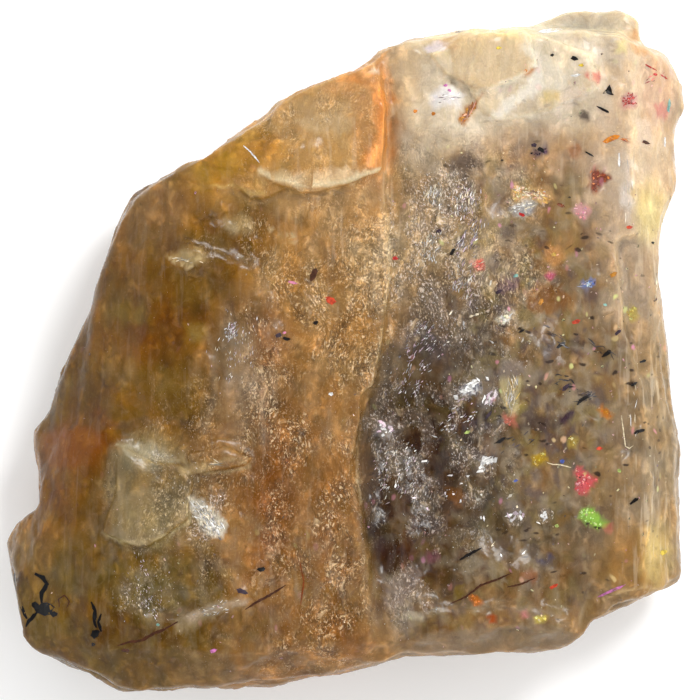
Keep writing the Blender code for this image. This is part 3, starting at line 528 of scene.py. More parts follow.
# Platelets that show one by one: name, centre, length and width in millimetres, turn about Z in degrees,
# corners and hue. Their rims have a point every RIM_STEP millimetres at least, moved by up to RIM_JAG of
# their width.
PLATELETS = [
    ("black wedge", (13.59, 13.52), (0.78, 0.73), 80, 3, "black"),
    ("black fleck", (11.82, 15.18), (0.52, 0.26), -20, 5, "black"),
    ("rim speck", (10.68, 15.34), (0.26, 0.16), 0, 5, "black"),
    ("slant streak", (13.33, 12.53), (0.83, 0.16), -28, 6, "black"),
    ("brow fleck", (5.9, 16.69), (0.52, 0.12), 8, 5, "black"),
    ("yellow crumb", (12.19, 14.82), (0.31, 0.21), 0, 5, "yellow"),
    ("lemon crumb", (7.92, 15.7), (0.31, 0.21), 0, 5, "yellow"),
    # The rim glint and the rim bar are silver plates: painted glints.
    ("rim glint", (11.88, 14.3), (0.57, 0.16), 5, 5, "silver"),
    ("rim bar", (10.58, 16.64), (1.46, 0.23), 6, 6, "silver"),
    ("magenta crumb", (5.17, 13.78), (0.26, 0.16), 20, 5, "magenta"),
    ("magenta grain", (5.38, 13.52), (0.26, 0.16), -20, 5, "magenta"),
    ("orange dot", (3.61, 12.43), (0.23, 0.21), 0, 6, "orange"),
    ("orange grain", (4.54, 12.32), (0.23, 0.21), 0, 6, "orange"),
    ("orange rim dot", (9.33, 14.51), (0.21, 0.21), 0, 6, "orange"),
    ("red dot", (14.68, 13.1), (0.26, 0.16), 0, 5, "red"),
    ("red grain", (14.94, 12.9), (0.23, 0.16), 30, 5, "red"),
    ("red line", (15.83, 14.77), (0.83, 0.1), -28, 5, "red"),
    ("red thread", (16.56, 14.3), (0.62, 0.1), -28, 5, "red"),
    ("teal edge", (16.82, 12.79), (0.94, 0.21), 84, 5, "teal"),
    ("oxblood fleck", (15.57, 10.87), (0.52, 0.21), -15, 5, "oxblood"),
    ("amber streak", (13.7, 11.02), (0.99, 0.31), 20, 6, "orange"),
    ("violet fleck", (9.74, 10.71), (0.36, 0.26), 10, 5, "violet"),
    ("black cluster", (10.11, 10.45), (0.47, 0.26), -30, 6, "black"),
    ("black thread", (12.6, 10.24), (0.62, 0.12), -30, 5, "black"),
    ("bead shadow", (15.93, 5.67), (0.21, 0.16), 0, 5, "black"),
    ("scarlet spot", (-0.76, 2.65), (0.68, 0.42), -20, 6, "scarlet"),
    ("purple cluster", (-3.46, 0.88), (0.42, 0.26), 10, 6, "violet"),
    ("black grain", (-3.05, 0.68), (0.42, 0.21), -10, 6, "black"),
    ("pink grain", (-3.15, 0.99), (0.23, 0.16), 0, 5, "pink"),
    ("umber smudge", (-1.64, 4.0), (0.78, 0.36), 70, 7, "oxblood"),
    ("soot smudge", (-1.54, 1.51), (0.31, 0.26), 0, 6, "black"),
    ("pink bar", (-2.74, 3.59), (0.62, 0.16), -12, 5, "pink"),
    ("red bead", (2.57, 4.84), (0.36, 0.21), 0, 5, "red"),
    ("white bead", (-0.76, -2.18), (0.31, 0.21), -15, 5, "silver"),
    ("speck a", (14.94, -1.66), (0.42, 0.16), 32, 5, "black"),
    ("speck b", (15.41, -0.47), (0.47, 0.14), 15, 5, "black"),
    ("speck c", (13.49, -0.1), (0.73, 0.21), 35, 6, "black"),
    ("speck d", (14.11, 1.04), (0.52, 0.21), 40, 5, "violet"),
    ("speck e", (15.2, -4.11), (0.73, 0.21), 22, 6, "black"),
    ("speck f", (12.34, -2.39), (0.94, 0.23), 35, 6, "black"),
    ("speck g", (11.41, -1.82), (0.57, 0.21), 45, 6, "violet"),
    ("speck h", (14.94, -7.7), (0.57, 0.21), 38, 5, "black"),
    ("olive spark", (6.31, -4.16), (0.36, 0.21), 30, 5, "lime"),
    ("gold spark", (10.78, 5.04), (0.31, 0.21), 20, 5, "gold"),
    ("red spark", (16.09, 14.4), (0.26, 0.16), 0, 5, "red"),
    ("red seed", (14.89, 13.16), (0.21, 0.16), 0, 5, "red"),
    ("olive patch", (16.5, -10.4), (0.42, 0.31), 20, 6, "yellow"),
    ("pink thread", (13.75, -12.38), (1.66, 0.16), 25, 6, "magenta"),
    ("magenta seed", (-6.84, -15.44), (0.42, 0.21), 20, 5, "magenta"),
    ("teal seed", (-9.7, -14.09), (0.21, 0.16), 0, 5, "teal"),
    ("soot blob", (-15.63, -13.31), (1.09, 0.73), 15, 7, "soot"),
    ("soot lobe", (-16.1, -13.1), (0.47, 0.36), -40, 6, "soot"),
    ("soot drop", (-15.11, -13.57), (0.42, 0.31), 20, 6, "soot"),
    ("chain blob", (-12.93, -14.56), (0.57, 0.47), 20, 6, "soot"),
    ("chain seed", (-13.03, -15.13), (0.26, 0.21), 0, 5, "soot"),
    ("umber blob", (-11.37, -15.44), (0.57, 0.21), -8, 6, "oxblood"),
    ("dusk fleck", (-5.34, -12.38), (0.68, 0.26), -20, 6, "violet"),
    ("dusk grain", (-4.35, -11.23), (0.47, 0.26), 10, 6, "black"),
    ("slate fleck", (8.03, -4.58), (0.73, 0.21), 30, 6, "black"),
    ("slate grain", (7.4, -3.28), (0.52, 0.21), 50, 6, "violet"),
    ("ink fleck", (5.53, 5.2), (0.47, 0.21), 60, 6, "black"),
    ("ink grain", (4.8, 6.24), (0.36, 0.21), 20, 6, "violet"),
    ("ink drop", (7.92, 3.12), (0.47, 0.21), 30, 6, "violet"),
    ("ink seed", (9.12, 1.09), (0.42, 0.16), 30, 5, "black"),
    ("coal fleck", (11.15, 0.36), (0.62, 0.21), 30, 6, "black"),
    ("coal grain", (16.09, 2.7), (0.36, 0.16), 40, 5, "oxblood"),
    ("fire fleck", (11.93, 1.56), (0.47, 0.26), 15, 5, "scarlet"),
    ("fire grain", (9.12, 7.12), (0.36, 0.21), -20, 5, "red"),
    ("rust fleck", (11.15, 7.59), (0.47, 0.26), -20, 5, "rust"),
    ("copper fleck", (13.85, 4.0), (0.52, 0.26), 30, 5, "amber"),
    ("copper grain", (14.68, 6.45), (0.36, 0.21), 10, 5, "scarlet"),
    ("copper seed", (10.11, 2.6), (0.47, 0.26), 60, 5, "amber"),
    ("flame fleck", (13.12, -4.99), (0.36, 0.21), 0, 5, "scarlet"),
    ("flame grain", (10.78, -12.12), (0.52, 0.21), 25, 5, "scarlet"),
    ("teal fleck", (8.81, 3.95), (0.31, 0.21), 30, 5, "teal"),
    ("teal grain", (13.44, 2.44), (0.26, 0.16), 0, 5, "teal"),
    ("lime grain", (14.16, -6.14), (0.26, 0.21), 0, 5, "lime"),
    ("lime seed", (10.94, -9.0), (0.26, 0.21), 0, 5, "lime"),
    ("blue grain", (11.2, -5.67), (0.31, 0.21), 20, 5, "indigo"),
    ("blue seed", (8.81, -6.66), (0.31, 0.16), 20, 5, "indigo"),
]
RIM_STEP = 0.16
RIM_JAG = 0.06

# Streaks, dendrites and hairs on the skin: name, width at the middle in millimetres, hue and points.
STREAKS = [
    ("soot stem", 0.3, "soot", [
        (-15.74, -13.0), (-15.74, -12.48), (-15.48, -12.01), (-15.68, -11.7), (-16.1, -11.49),
    ]),
    ("soot ring", 0.07, "oxblood", [
        (-14.8, -13.21), (-14.85, -12.79), (-14.54, -12.58), (-14.28, -12.9), (-14.44, -13.26),
    ]),
    ("soot whisker", 0.2, "soot", [(-16.0, -13.52), (-16.41, -13.94), (-16.57, -14.25)]),
    ("chain", 0.2, "soot", [(-13.14, -12.9), (-12.93, -13.36), (-12.98, -13.88), (-12.88, -14.25)]),
    ("chain twig", 0.16, "soot", [(-12.62, -13.52), (-12.77, -13.94), (-12.62, -14.46)]),
    ("rim streak", 0.26, "soot", [(-17.24, -11.54), (-17.09, -12.27), (-16.88, -13.0), (-16.52, -13.83)]),
    ("umber chain", 0.16, "oxblood", [
        (-11.78, -15.18), (-11.16, -14.98), (-10.54, -14.92), (-9.96, -14.56), (-9.5, -14.4),
        (-8.66, -13.94),
    ]),
    ("rust streak", 0.13, "oxblood", [(-5.18, -13.31), (-4.56, -12.9), (-3.93, -12.58), (-3.1, -12.06)]),
    ("core chain", 0.12, "oxblood", [
        (5.38, -13.05), (6.26, -12.64), (6.99, -12.06), (7.77, -11.8), (8.6, -11.44),
    ]),
    ("core chain twig", 0.15, "black", [(5.9, -10.76), (6.42, -10.45), (7.04, -10.14)]),
    ("heel chain", 0.1, "oxblood", [(8.34, -12.17), (9.07, -12.01), (9.8, -11.7)]),
    ("rust vein", 0.09, "rust", [(-2.37, -10.82), (-2.16, -11.86), (-2.32, -13.1)]),
    ("white hair", 0.06, "cream", [(10.42, -5.72), (10.73, -5.82), (11.04, -5.82), (11.67, -5.98)]),
    ("white vee", 0.06, "cream", [
        (14.27, -3.28), (14.37, -4.06), (14.48, -4.89), (14.68, -4.99), (14.89, -4.84),
    ]),
    ("pale hair", 0.08, "silver", [(-5.28, 10.66), (-4.92, 10.35), (-4.45, 9.78)]),
    ("white streak", 0.1, "silver", [(14.16, 10.3), (14.16, 9.57)]),
    ("white stroke", 0.1, "silver", [(16.61, 11.18), (16.61, 10.66)]),
]

# Sprays of fine strokes: name, centre, half-length and half-width of the patch, length and width of a stroke
# in millimetres, turn of the strokes in degrees, how many, and the hues that mix in them.
# The silver strokes and chips are painted glints and sheen of foil; the cream strokes are partly the silk's
# own pale colour and partly painted sheen.
SPRAYS = [
    ("brow spray", (4.6, 8.1), (0.73, 0.57), (0.26, 0.06), 85, 60, ("cream", "silver")),
    ("neck spray", (6.2, 7.8), (1.04, 0.73), (0.26, 0.06), 80, 90, ("cream", "silver", "lilac")),
    ("lilac spray", (6.4, 5.8), (1.35, 0.68), (0.26, 0.06), 60, 150, ("lilac", "silver", "violet")),
    ("core brow spray", (4.4, 5.3), (1.04, 0.62), (0.21, 0.06), 80, 90, ("cream", "silver")),
    ("core shoulder spray", (6.1, 3.6), (1.14, 0.83), (0.26, 0.06), 75, 120, ("silver", "lilac", "cream")),
    ("coral spray", (6.8, 4.6), (0.42, 0.26), (0.26, 0.07), 35, 12, ("coral", "cream")),
    ("orange stroke", (6.4, 12.5), (0.68, 0.16), (0.52, 0.08), 56, 16, ("orange", "salmon")),
    ("honey strokes", (9.9, 8.1), (1.09, 0.21), (0.36, 0.09), -10, 40, ("gold", "cream", "salmon")),
    ("grey strokes", (9.2, 7.5), (0.78, 0.21), (0.32, 0.08), 20, 24, ("silver", "cream")),
    ("blue spark spray", (12.5, 3.6), (0.42, 0.21), (0.26, 0.06), 20, 14, ("lilac", "indigo", "silver")),
    ("white bead spray", (8.2, 1.8), (0.32, 0.15), (0.38, 0.2), 5, 6, ("silver", "cream")),
    ("gleam spray", (6.5, -1.8), (0.9, 0.24), (0.42, 0.19), 30, 16, ("silver",)),
    ("gleam foot spray", (7.5, -2.4), (0.57, 0.31), (0.36, 0.17), 35, 12, ("silver", "lilac")),
    ("gold fibres", (8.6, -2.1), (1.04, 0.34), (0.6, 0.05), 84, 70, ("cream", "silver", "gold")),
    ("smoke spray", (4.0, 0.4), (1.66, 1.14), (0.19, 0.05), 50, 240, ("silver", "lilac", "violet")),
    ("core mist", (3.4, -1.5), (1.56, 1.04), (0.19, 0.05), 60, 190, ("silver", "lilac")),
    ("white blot spray", (2.0, -4.0), (0.52, 0.42), (0.32, 0.17), 20, 14, ("silver", "lilac")),
    ("core foot spray", (2.8, -6.1), (1.77, 1.25), (0.19, 0.05), 60, 240, ("silver", "lilac", "cream")),
    ("core mid spray", (5.7, -3.5), (1.56, 0.83), (0.21, 0.06), 30, 110, ("silver", "lilac")),
    ("bright node", (7.3, -5.7), (0.55, 0.42), (0.4, 0.21), 40, 20, ("silver",)),
    ("heel node", (8.8, -8.5), (0.47, 0.31), (0.36, 0.17), 30, 9, ("silver", "lilac")),
    ("heel twin node", (10.4, -8.5), (0.31, 0.26), (0.3, 0.15), 30, 6, ("silver",)),
    ("core chips", (4.8, -7.0), (2.2, 3.0), (0.26, 0.13), 30, 13, ("silver", "lilac")),
    ("heel chips", (8.6, -8.6), (2.6, 2.2), (0.26, 0.12), 20, 9, ("silver", "cream")),
    ("shoulder chips", (6.4, 1.8), (2.4, 2.6), (0.22, 0.12), 60, 9, ("silver", "cream")),
    ("dark strokes", (11.2, 0.6), (1.35, 0.47), (0.42, 0.07), -30, 16, ("black", "oxblood")),
    ("dark strokes side", (13.2, 0.1), (0.73, 0.26), (0.52, 0.08), -28, 8, ("black",)),
    ("dusk strokes", (11.3, -1.6), (0.73, 0.57), (0.31, 0.08), -20, 16, ("violet", "black")),
    ("dusk knot", (12.5, -2.3), (0.68, 0.31), (0.36, 0.08), 20, 18, ("violet", "black", "oxblood")),
    ("dusk foot strokes", (9.1, -4.6), (1.35, 0.62), (0.36, 0.08), 20, 20, ("violet", "black")),
    ("red scratches", (16.1, 14.3), (0.73, 0.21), (0.31, 0.05), 28, 16, ("red", "coral")),
    ("red scratches foot", (14.8, 13.1), (0.31, 0.26), (0.21, 0.05), 60, 12, ("red", "coral")),
    ("amber thread", (14.1, 11.0), (0.88, 0.1), (0.47, 0.06), -10, 10, ("orange", "red")),
    ("foil spray", (-7.1, -8.6), (1.05, 0.42), (0.32, 0.08), -52, 150, ("silver", "silver", "cream")),
    ("foot sparkle", (-10.3, -12.3), (2.0, 0.9), (0.13, 0.04), 110, 260, ("silver", "cream", "lilac")),
    ("foot fold sparkle", (-6.7, -13.3), (1.35, 0.36), (0.2, 0.045), 15, 90, ("cream", "silver")),
    ("left lilac spray", (-5.7, 0.1), (2.1, 1.3), (0.17, 0.04), 85, 260, ("lilac", "cream", "silver")),
    ("left knot", (-5.9, 1.1), (0.62, 0.36), (0.17, 0.05), 60, 60, ("silver", "lilac")),
    ("shell ridge strokes", (-8.1, 4.7), (0.83, 0.16), (0.31, 0.06), -8, 14, ("cream",)),
    ("sliver strokes", (-6.1, -5.8), (1.35, 0.26), (0.47, 0.05), -4, 16, ("cream",)),
    ("wall strokes", (14.9, -3.3), (1.77, 0.26), (0.57, 0.05), 88, 16, ("cream", "silver")),
    ("wall strokes brow", (16.2, 3.5), (2.29, 0.26), (0.62, 0.05), 90, 22, ("cream",)),
    ("wall strokes head", (14.6, 8.6), (1.77, 0.26), (0.52, 0.06), 88, 18, ("silver", "cream")),
    ("pearl strokes", (5.3, 13.2), (0.73, 0.31), (0.36, 0.07), 10, 16, ("silver", "lilac")),
]

# A stroke at least this wide, in millimetres, is a chip, a painted glint: it stays bright, and lies any way
# round.
CHIP_WIDTH = 0.11
# The finer strokes of a patch that reaches farther than this from its middle gather in clumps.
CLUMPED = 1.1
# A stroke whose corners differ more than this in height, in millimetres, is left out.
HIGH_STEP = 0.3

# Flakes strewn over the skin: where, how many a square metre, corners, how flat their tops are, half-lengths
# and narrowness, how they are turned and tilted, their tints as hue, saturation and value, and how much of
# the body's own colour they take. The finest real ones don't show, so these are a little larger and fewer.
STREWN = {
    "gold_glints": {
        "Amount": "glitter", "Density": 38e6, "Corners": 3, "Flat": 0.0,
        "Smallest": 0.012 * MM, "Largest": 0.05 * MM, "Narrow": 0.3,
        "Spin": math.pi / 2, "Spin spread": 0.9, "Tilt": 0.6,
        "Hue from": 0.07, "Hue to": 0.12, "Saturation": 0.26, "Dark": 0.25, "Light": 0.95, "Own body": 0.85,
    },
    "silver_glints": {
        "Amount": "silver", "Density": 45e6, "Corners": 3, "Flat": 0.0,
        "Smallest": 0.012 * MM, "Largest": 0.075 * MM, "Narrow": 0.25,
        "Spin": math.pi / 2, "Spin spread": 1.2, "Tilt": 0.6,
        "Hue from": 0.05, "Hue to": 0.85, "Saturation": 0.07, "Dark": 0.3, "Light": 1.0, "Own body": 0.6,
    },
    "dark_specks": {
        "Amount": "specks", "Density": 1.3e6, "Corners": 4, "Flat": 0.6,
        "Smallest": 0.02 * MM, "Largest": 0.13 * MM, "Narrow": 0.08,
        "Spin": math.radians(32), "Spin spread": 1.1, "Tilt": 0.15,
        "Hue from": -0.1, "Hue to": 0.1, "Saturation": 0.45, "Dark": 0.004, "Light": 0.06, "Own body": 0.4,
    },
    "bright_crumbs": {
        "Amount": "specks", "Density": 0.9e6, "Corners": 5, "Flat": 0.8,
        "Smallest": 0.03 * MM, "Largest": 0.11 * MM, "Narrow": 0.4,
        "Spin": 0.0, "Spin spread": math.pi, "Tilt": 0.2,
        "Hue from": -0.05, "Hue to": 0.18, "Saturation": 0.55, "Dark": 0.2, "Light": 0.7, "Own body": 0.5,
    },
}
# The widest of them are this share of their length.
WIDEST_FLAKE = 0.75

# Finishes of the minerals in the skin, each as metallic, roughness, how uneven its tint is, and gloss.
FINISHES = {
    # Hematite plates broken off level with the skin: flat, dark or stained, with a weak satin shine.
    "hematite_platelets_flush": (0.0, 0.35, 0.35, 0.2),
    # Iron oxide grown along cracks: earthy, nearly dull lines.
    "iron_oxide_streaks": (0.0, 0.5, 0.3, 0.12),
    # Feldspar split into fibres and foils: silky strokes and bright chips.
    "cleavage_silk": (0.0, 0.3, 0.25, 0.5),
    # Copper just under a cleavage face: pinpricks that flash as the stone turns.
    "cleavage_glint_bright": (0.7, 0.3, 0.1, 0.5),
    # Iron oxide flakes under a glassy skin: black to stained specks with a soft shine.
    "iron_oxide_flakes_vitreous": (0.0, 0.3, 0.2, 0.2),
}
# Light is mirrored by the feldspar over the dark inclusions too, so they share its IOR.
FELDSPAR_IOR = 1.54

# X and Y of the camera, and the height that the skin is sought from, in metres.
CAMERA_PLACE = (0.23 * MM, 0.1 * MM)
OVERHEAD = 0.05


class StoneSettings(bpy.types.PropertyGroup):
    """Sizes and finish of the stone's own skin."""

    grain: FloatProperty(
        name="Grain", description="Spacing of the skin's points", default=0.14 * MM, unit="LENGTH"
    )
    most_triangles: IntProperty(
        name="Most triangles", description="Triangles kept in the skin", default=190000
    )
    seed: IntProperty(name="Seed", description="Fixes the ragged edges of the zones", default=7, min=1)
    tread: FloatProperty(
        name="Tread", description="Height of one small cleavage step", default=0.028 * MM, unit="LENGTH"
    )
    body_colour: FloatVectorProperty(
        name="Body colour", description="Colour of the stone between its zones", subtype="COLOR",
        default=linear("#9a7850"), size=3
    )


class FlakeSettings(bpy.types.PropertyGroup):
    """How the platelets, streaks and scattered flakes lie in the skin."""

    rise: FloatProperty(
        name="Rise", description="Height of a platelet's face over the skin", default=0.012 * MM,
        unit="LENGTH"
    )
    root: FloatProperty(
        name="Root", description="Depth of a platelet under the skin", default=0.05 * MM, unit="LENGTH"
    )
    seed: IntProperty(name="Seed", description="Changes where the scattered flakes lie", default=7)


class StageSettings(bpy.types.PropertyGroup):
    """Camera height and light."""

    camera_height: FloatProperty(
        name="Camera height", description="Height of the lens over the floor", default=0.45, unit="LENGTH"
    )
    view_width: FloatProperty(
        name="View width", description="What the picture takes in, side to side", default=36.4 * MM,
        unit="LENGTH"
    )
    key_power: FloatProperty(name="Key", description="Power of the main light", default=0.93, unit="POWER")
    sky: FloatProperty(name="Sky", description="Strength of the light from all round", default=1.34)
    zenith: FloatProperty(
        name="Zenith", description="Strength of the light from straight above", default=0.15
    )
    floor_glow: FloatProperty(
        name="Floor glow", description="Strength of the light through the floor", default=0.12
    )


class SunstoneSettings(bpy.types.PropertyGroup):
    """All the settings of the rough sunstone."""

    stone: PointerProperty(type=StoneSettings)
    flakes: PointerProperty(type=FlakeSettings)
    stage: PointerProperty(type=StageSettings)


def muted(hex_colour):
    """The body of a colour, less what its surface mirrors, as the zones are kept."""
    return tuple(max(value - MIRRORED, value * LEAST_BODY) * LIGHTNESS for value in linear(hex_colour))


def smoothstep(low, high, values):
    """0 up to low, 1 from high on, and a smooth rise between them."""
    t = np.clip((values - low) / (high - low), 0, 1)
    return t * t * (3 - 2 * t)


def turned(centre, angle, u, v):
    """The point u along and v across from a centre, turned about it by an angle in radians."""
    c, s = math.cos(angle), math.sin(angle)
    return centre[0] + u * c - v * s, centre[1] + u * s + v * c


def new_object(name, mesh):
    """An object of a mesh, a light or a camera, in the scene."""
    obj = bpy.data.objects.new(name, mesh)
    bpy.context.scene.collection.objects.link(obj)
    return obj


def settle(obj):
    """Keeps what the modifiers made as the object's own mesh."""
    bpy.context.view_layer.update()
    evaluated = obj.evaluated_get(bpy.context.evaluated_depsgraph_get())
    mesh = bpy.data.meshes.new_from_object(evaluated)
    obj.modifiers.clear()
    obj.data = mesh


def points_of(mesh, what="co"):
    """The points of a mesh, in metres, or their normals, a row for each."""
    values = np.zeros(len(mesh.vertices) * 3, np.float32)
    if what == "co":
        mesh.vertices.foreach_get("co", values)
    else:
        mesh.vertex_normals.foreach_get("vector", values)
    return values.reshape(-1, 3).astype(float)


def welded_copy(source, name):
    """A copy of an object whose facets share their points, without materials."""
    mesh = source.data.copy()
    bm = bmesh.new()
    bm.from_mesh(mesh)
    bmesh.ops.remove_doubles(bm, verts=bm.verts, dist=0.001 * MM)
    bm.to_mesh(mesh)
    bm.free()
    mesh.materials.clear()
    return new_object(name, mesh)


def away_from(path, x, y):
    """Distance of each point from the nearest stretch of a path, in millimetres."""
    nearest = np.full(len(x), 1e9)
    for (ax, ay), (bx, by) in zip(path, path[1:]):
        along = ((x - ax) * (bx - ax) + (y - ay) * (by - ay)) / ((bx - ax) ** 2 + (by - ay) ** 2)
        along = np.clip(along, 0, 1)
        away = np.hypot(x - ax - along * (bx - ax), y - ay - along * (by - ay))
        nearest = np.minimum(nearest, away)
    return nearest


def inside(outline, x, y):
    """How far inside the outline each point lies, in millimetres, negative outside."""
    within = np.zeros(len(x), bool)
    for (ax, ay), (bx, by) in zip(outline, outline[1:] + outline[:1]):
        if ay != by:
            within ^= ((ay > y) != (by > y)) & (x < (bx - ax) * (y - ay) / (by - ay) + ax)
    away = away_from(outline + outline[:1], x, y)
    return np.where(within, away, -away)


def relief(points, normals, tread):
    """Height of the fine relief over each point, in millimetres: treads, chips and roughness."""
    top = smoothstep(0.45, 0.8, normals[:, 2])
    side = 1 - smoothstep(0.4, 0.75, np.abs(normals[:, 2]))
    heights = np.zeros(len(points))
    for i, (x, y, z) in enumerate(points):
        sway = noise.noise((x / 3, y / 3, z / 3))
        steps = 3.2 * noise.noise((x / 1.6 + 0.5 * sway, y / 3.2, 3.1))
        steps += 1.8 * noise.noise((x / 0.8, y / 1.3, 8.7))
        ledges = 2.6 * noise.noise((x / 4, y / 4, z / 1.1 + 0.5 * sway))
        treads = top[i] * tread * stair(steps) + side[i] * SIDE_TREAD * tread * stair(ledges)
        chips = CHIP_RISE * tilted_chip(x / 0.6, y / 0.95, z / 0.6)
        chips += SMALL_CHIP_RISE * tilted_chip(y / 0.4, x / 0.34, z / 0.34)
        heights[i] = treads + chips + ROUGH_RISE * noise.noise((x / 0.3, y / 0.42, z / 0.3))
    return heights


def tilted_chip(x, y, z):
    """Height over the flat chip that a point lies on: each chip is tilted its own way."""
    centre = noise.voronoi((x, y, z))[1][0]
    tilt = noise.noise_vector(centre * 3.7)
    return tilt.x * (x - centre.x) + tilt.y * (y - centre.y) + tilt.z * (z - centre.z)


def stair(value):
    """value rounded to whole steps, with short ramps between them."""
    whole = math.floor(value)
    part = min(max((value - whole - 0.35) / 0.3, 0), 1)
    return whole + part * part * (3 - 2 * part)


def zone_mask(x, y, centre, half_axes, turn, amount, soft):
    """How much of a zone lies at each point: its amount in the middle, and 0 past its soft edge."""
    c, s = math.cos(math.radians(turn)), math.sin(math.radians(turn))
    dx, dy = x - centre[0], y - centre[1]
    reach = np.hypot((dx * c + dy * s) / half_axes[0], (dy * c - dx * s) / half_axes[1])
    return amount * (1 - smoothstep(1 - soft, 1 + soft, reach))


def strongest(x, y, zones):
    """The most that any of the zones has at each point."""
    masks = [zone_mask(x, y, *zone) for zone in zones]
    return np.max(masks, axis=0)


def patches(points, size, shift):
    """0 to 1 over the points: patches of about size, each of them patchy in its turn."""
    values = [noise.fractal((x / size, y / size / 1.5, z / size + shift), 0.7, 2.1, 5) for x, y, z in points]
    return smoothstep(-0.45, 0.5, np.array(values))


def fractal(points, scale, stretch, octaves, shift):
    """Noise of about -1 to 1 at each point: scale is patches a millimetre, drawn out along Y by stretch."""
    places = [(x * scale, y * scale / stretch, z * scale + shift) for x, y, z in points]
    return np.array([noise.fractal(place, 0.8, 2.0, octaves) for place in places])


def tones(points):
    """How the body colour varies over the points: clouds, mottling, panes lit on one side by painted shading,
    sheets, and warm and cool drifts.

    A sheet is a cleavage plane seen edge on: pale above a sharp ragged edge, and fading upward."""
    clouds = 1 + 0.28 * fractal(points, 0.6, 1.7, 3, 5.0)
    mottle = 1 + 0.2 * fractal(points, 2.4, 3.2, 2, 9.0)
    # Each pane is painted lighter on one side and darker on the other: painted shading of a tilted facet.
    panes = 1 + 0.7 * np.array([tilted_chip(x / 1.2, y / 1.7, z / 1.2) for x, y, z in points])
    drop = 0.42 * points[:, 1] + 1.3 * fractal(points, 1.1, 2.0, 4, 14.0)
    sheets = 1 - smoothstep(0.0, 0.6, drop - np.floor(drop))
    sheets *= smoothstep(-0.1, 0.2, fractal(points, 1.1, 1.4, 3, 21.0))
    tone = clouds * mottle * panes * (0.93 + 0.6 * sheets)
    cool = smoothstep(-0.35, 0.35, fractal(points, 0.8, 1.4, 3, 33.0))[:, None]
    return tone[:, None] * (np.array(WARM) + (np.array(COOL) - np.array(WARM)) * cool)


def keep(mesh, name, values):
    """Stores one number or one colour for each point under a name."""
    if values.ndim == 1:
        data = mesh.attributes.new(name, "FLOAT", "POINT").data
        data.foreach_set("value", values.astype(np.float32))
    else:
        colours = np.hstack([values, np.ones((len(values), 1))]).astype(np.float32)
        data = mesh.attributes.new(name, "FLOAT_COLOR", "POINT").data
        data.foreach_set("color", colours.ravel())


def cover(colours, hex_colour, mask):
    """Lays a colour over those of the points, as far as the mask goes."""
    colours += (np.array(linear(hex_colour)) - colours) * mask[:, None]


def paint_body(points, drift, fray, right, body_colour):
    """The colour of each point: the body's, with the zones over it, each with a ragged edge."""
    colours = np.tile(np.array(body_colour, float), (len(points), 1))
    for name, centre, half_axes, turn, colour, strength, soft in ZONES:
        ragged = min(1.0, min(half_axes) / 2.5)
        x, y = (points + ragged * drift + fray)[:, :2].T
        mask = zone_mask(x, y, centre, half_axes, turn, strength, soft)
        if name.startswith("right"):
            mask *= right
        if name.startswith("left"):
            mask *= 1 - right
        cover(colours, colour, mask)
    return colours


def paint_rim_glow_and_shade(colours, points, normals):
    """Paints a glow on the sloping rims on the right, and painted shade on those on the left."""
    thin = smoothstep(0.97, 0.6, normals[:, 2]) * smoothstep(-0.3, 0.3, normals[:, 2])
    thin *= smoothstep(1.0, 4.0, points[:, 2])
    glow = smoothstep(-9.0, 3.0, points[:, 0])[:, None]
    colours *= 1 + thin[:, None] * (glow * np.array(PAINTED_RIM_GLOW) - (1 - glow) * np.array(PAINTED_RIM_SHADE))


def paint_clouds(colours, points, x, y):
    """Lays the clouds of stain and smoke over the colours."""
    blotches = np.maximum(strongest(x, y, BLOTCHES), LEAST_BLOTCHES)
    for colour, scale, shift in BLOTCH_COLOURS:
        mask = 0.5 * blotches * smoothstep(0.1, 0.42, fractal(points, scale, 1.2, 3, shift))
        cover(colours, colour, mask)


def paint_panes(colours, x, y, upward):
    """Lays the panes over the colours, where the skin faces up."""
    for colour, strength, outline in PANES.values():
        mask = strength * smoothstep(-0.07, 0.07, inside(outline, x, y))
        mask *= smoothstep(0.2, 0.5, upward)
        cover(colours, colour, mask)


def paint_lip_highlights_and_veils(colours, x, y, upward):
    """Lays the painted highlights of the lips and folds, and the veils, over the colours, where the skin
    faces up.
    """
    for _name, width, strength, colour, path in LIP_HIGHLIGHTS_AND_VEILS:
        mask = strength * (1 - smoothstep(0.15, 1.0, away_from(path, x, y) / width * 2))
        mask *= smoothstep(0.3, 0.7, upward)
        cover(colours, colour, mask)


def store_amounts(mesh, points, x, y, upward, right):
    """Stores how much of each of the AMOUNTS lies at each point, and none on the underside."""
    # Glitter and silver come in flocks, and there is less glitter on the lower right.
    flocks = {
        "glitter": 0.15 + 0.85 * patches(points, 1.7, 0.0) * (0.4 + 0.6 * patches(points, 0.7, 80.0)),
        "silver": patches(points, 1.0, 40.0),
    }
    flocks["glitter"] *= 1 - 0.75 * right * smoothstep(4.0, -1.0, y)
    shown = smoothstep(-0.9, -0.6, upward)
    for name, zones in AMOUNTS.items():
        amount = shown * np.maximum(strongest(x, y, zones), BASE_AMOUNTS[name])
        keep(mesh, name, amount * flocks.get(name, 1.0))


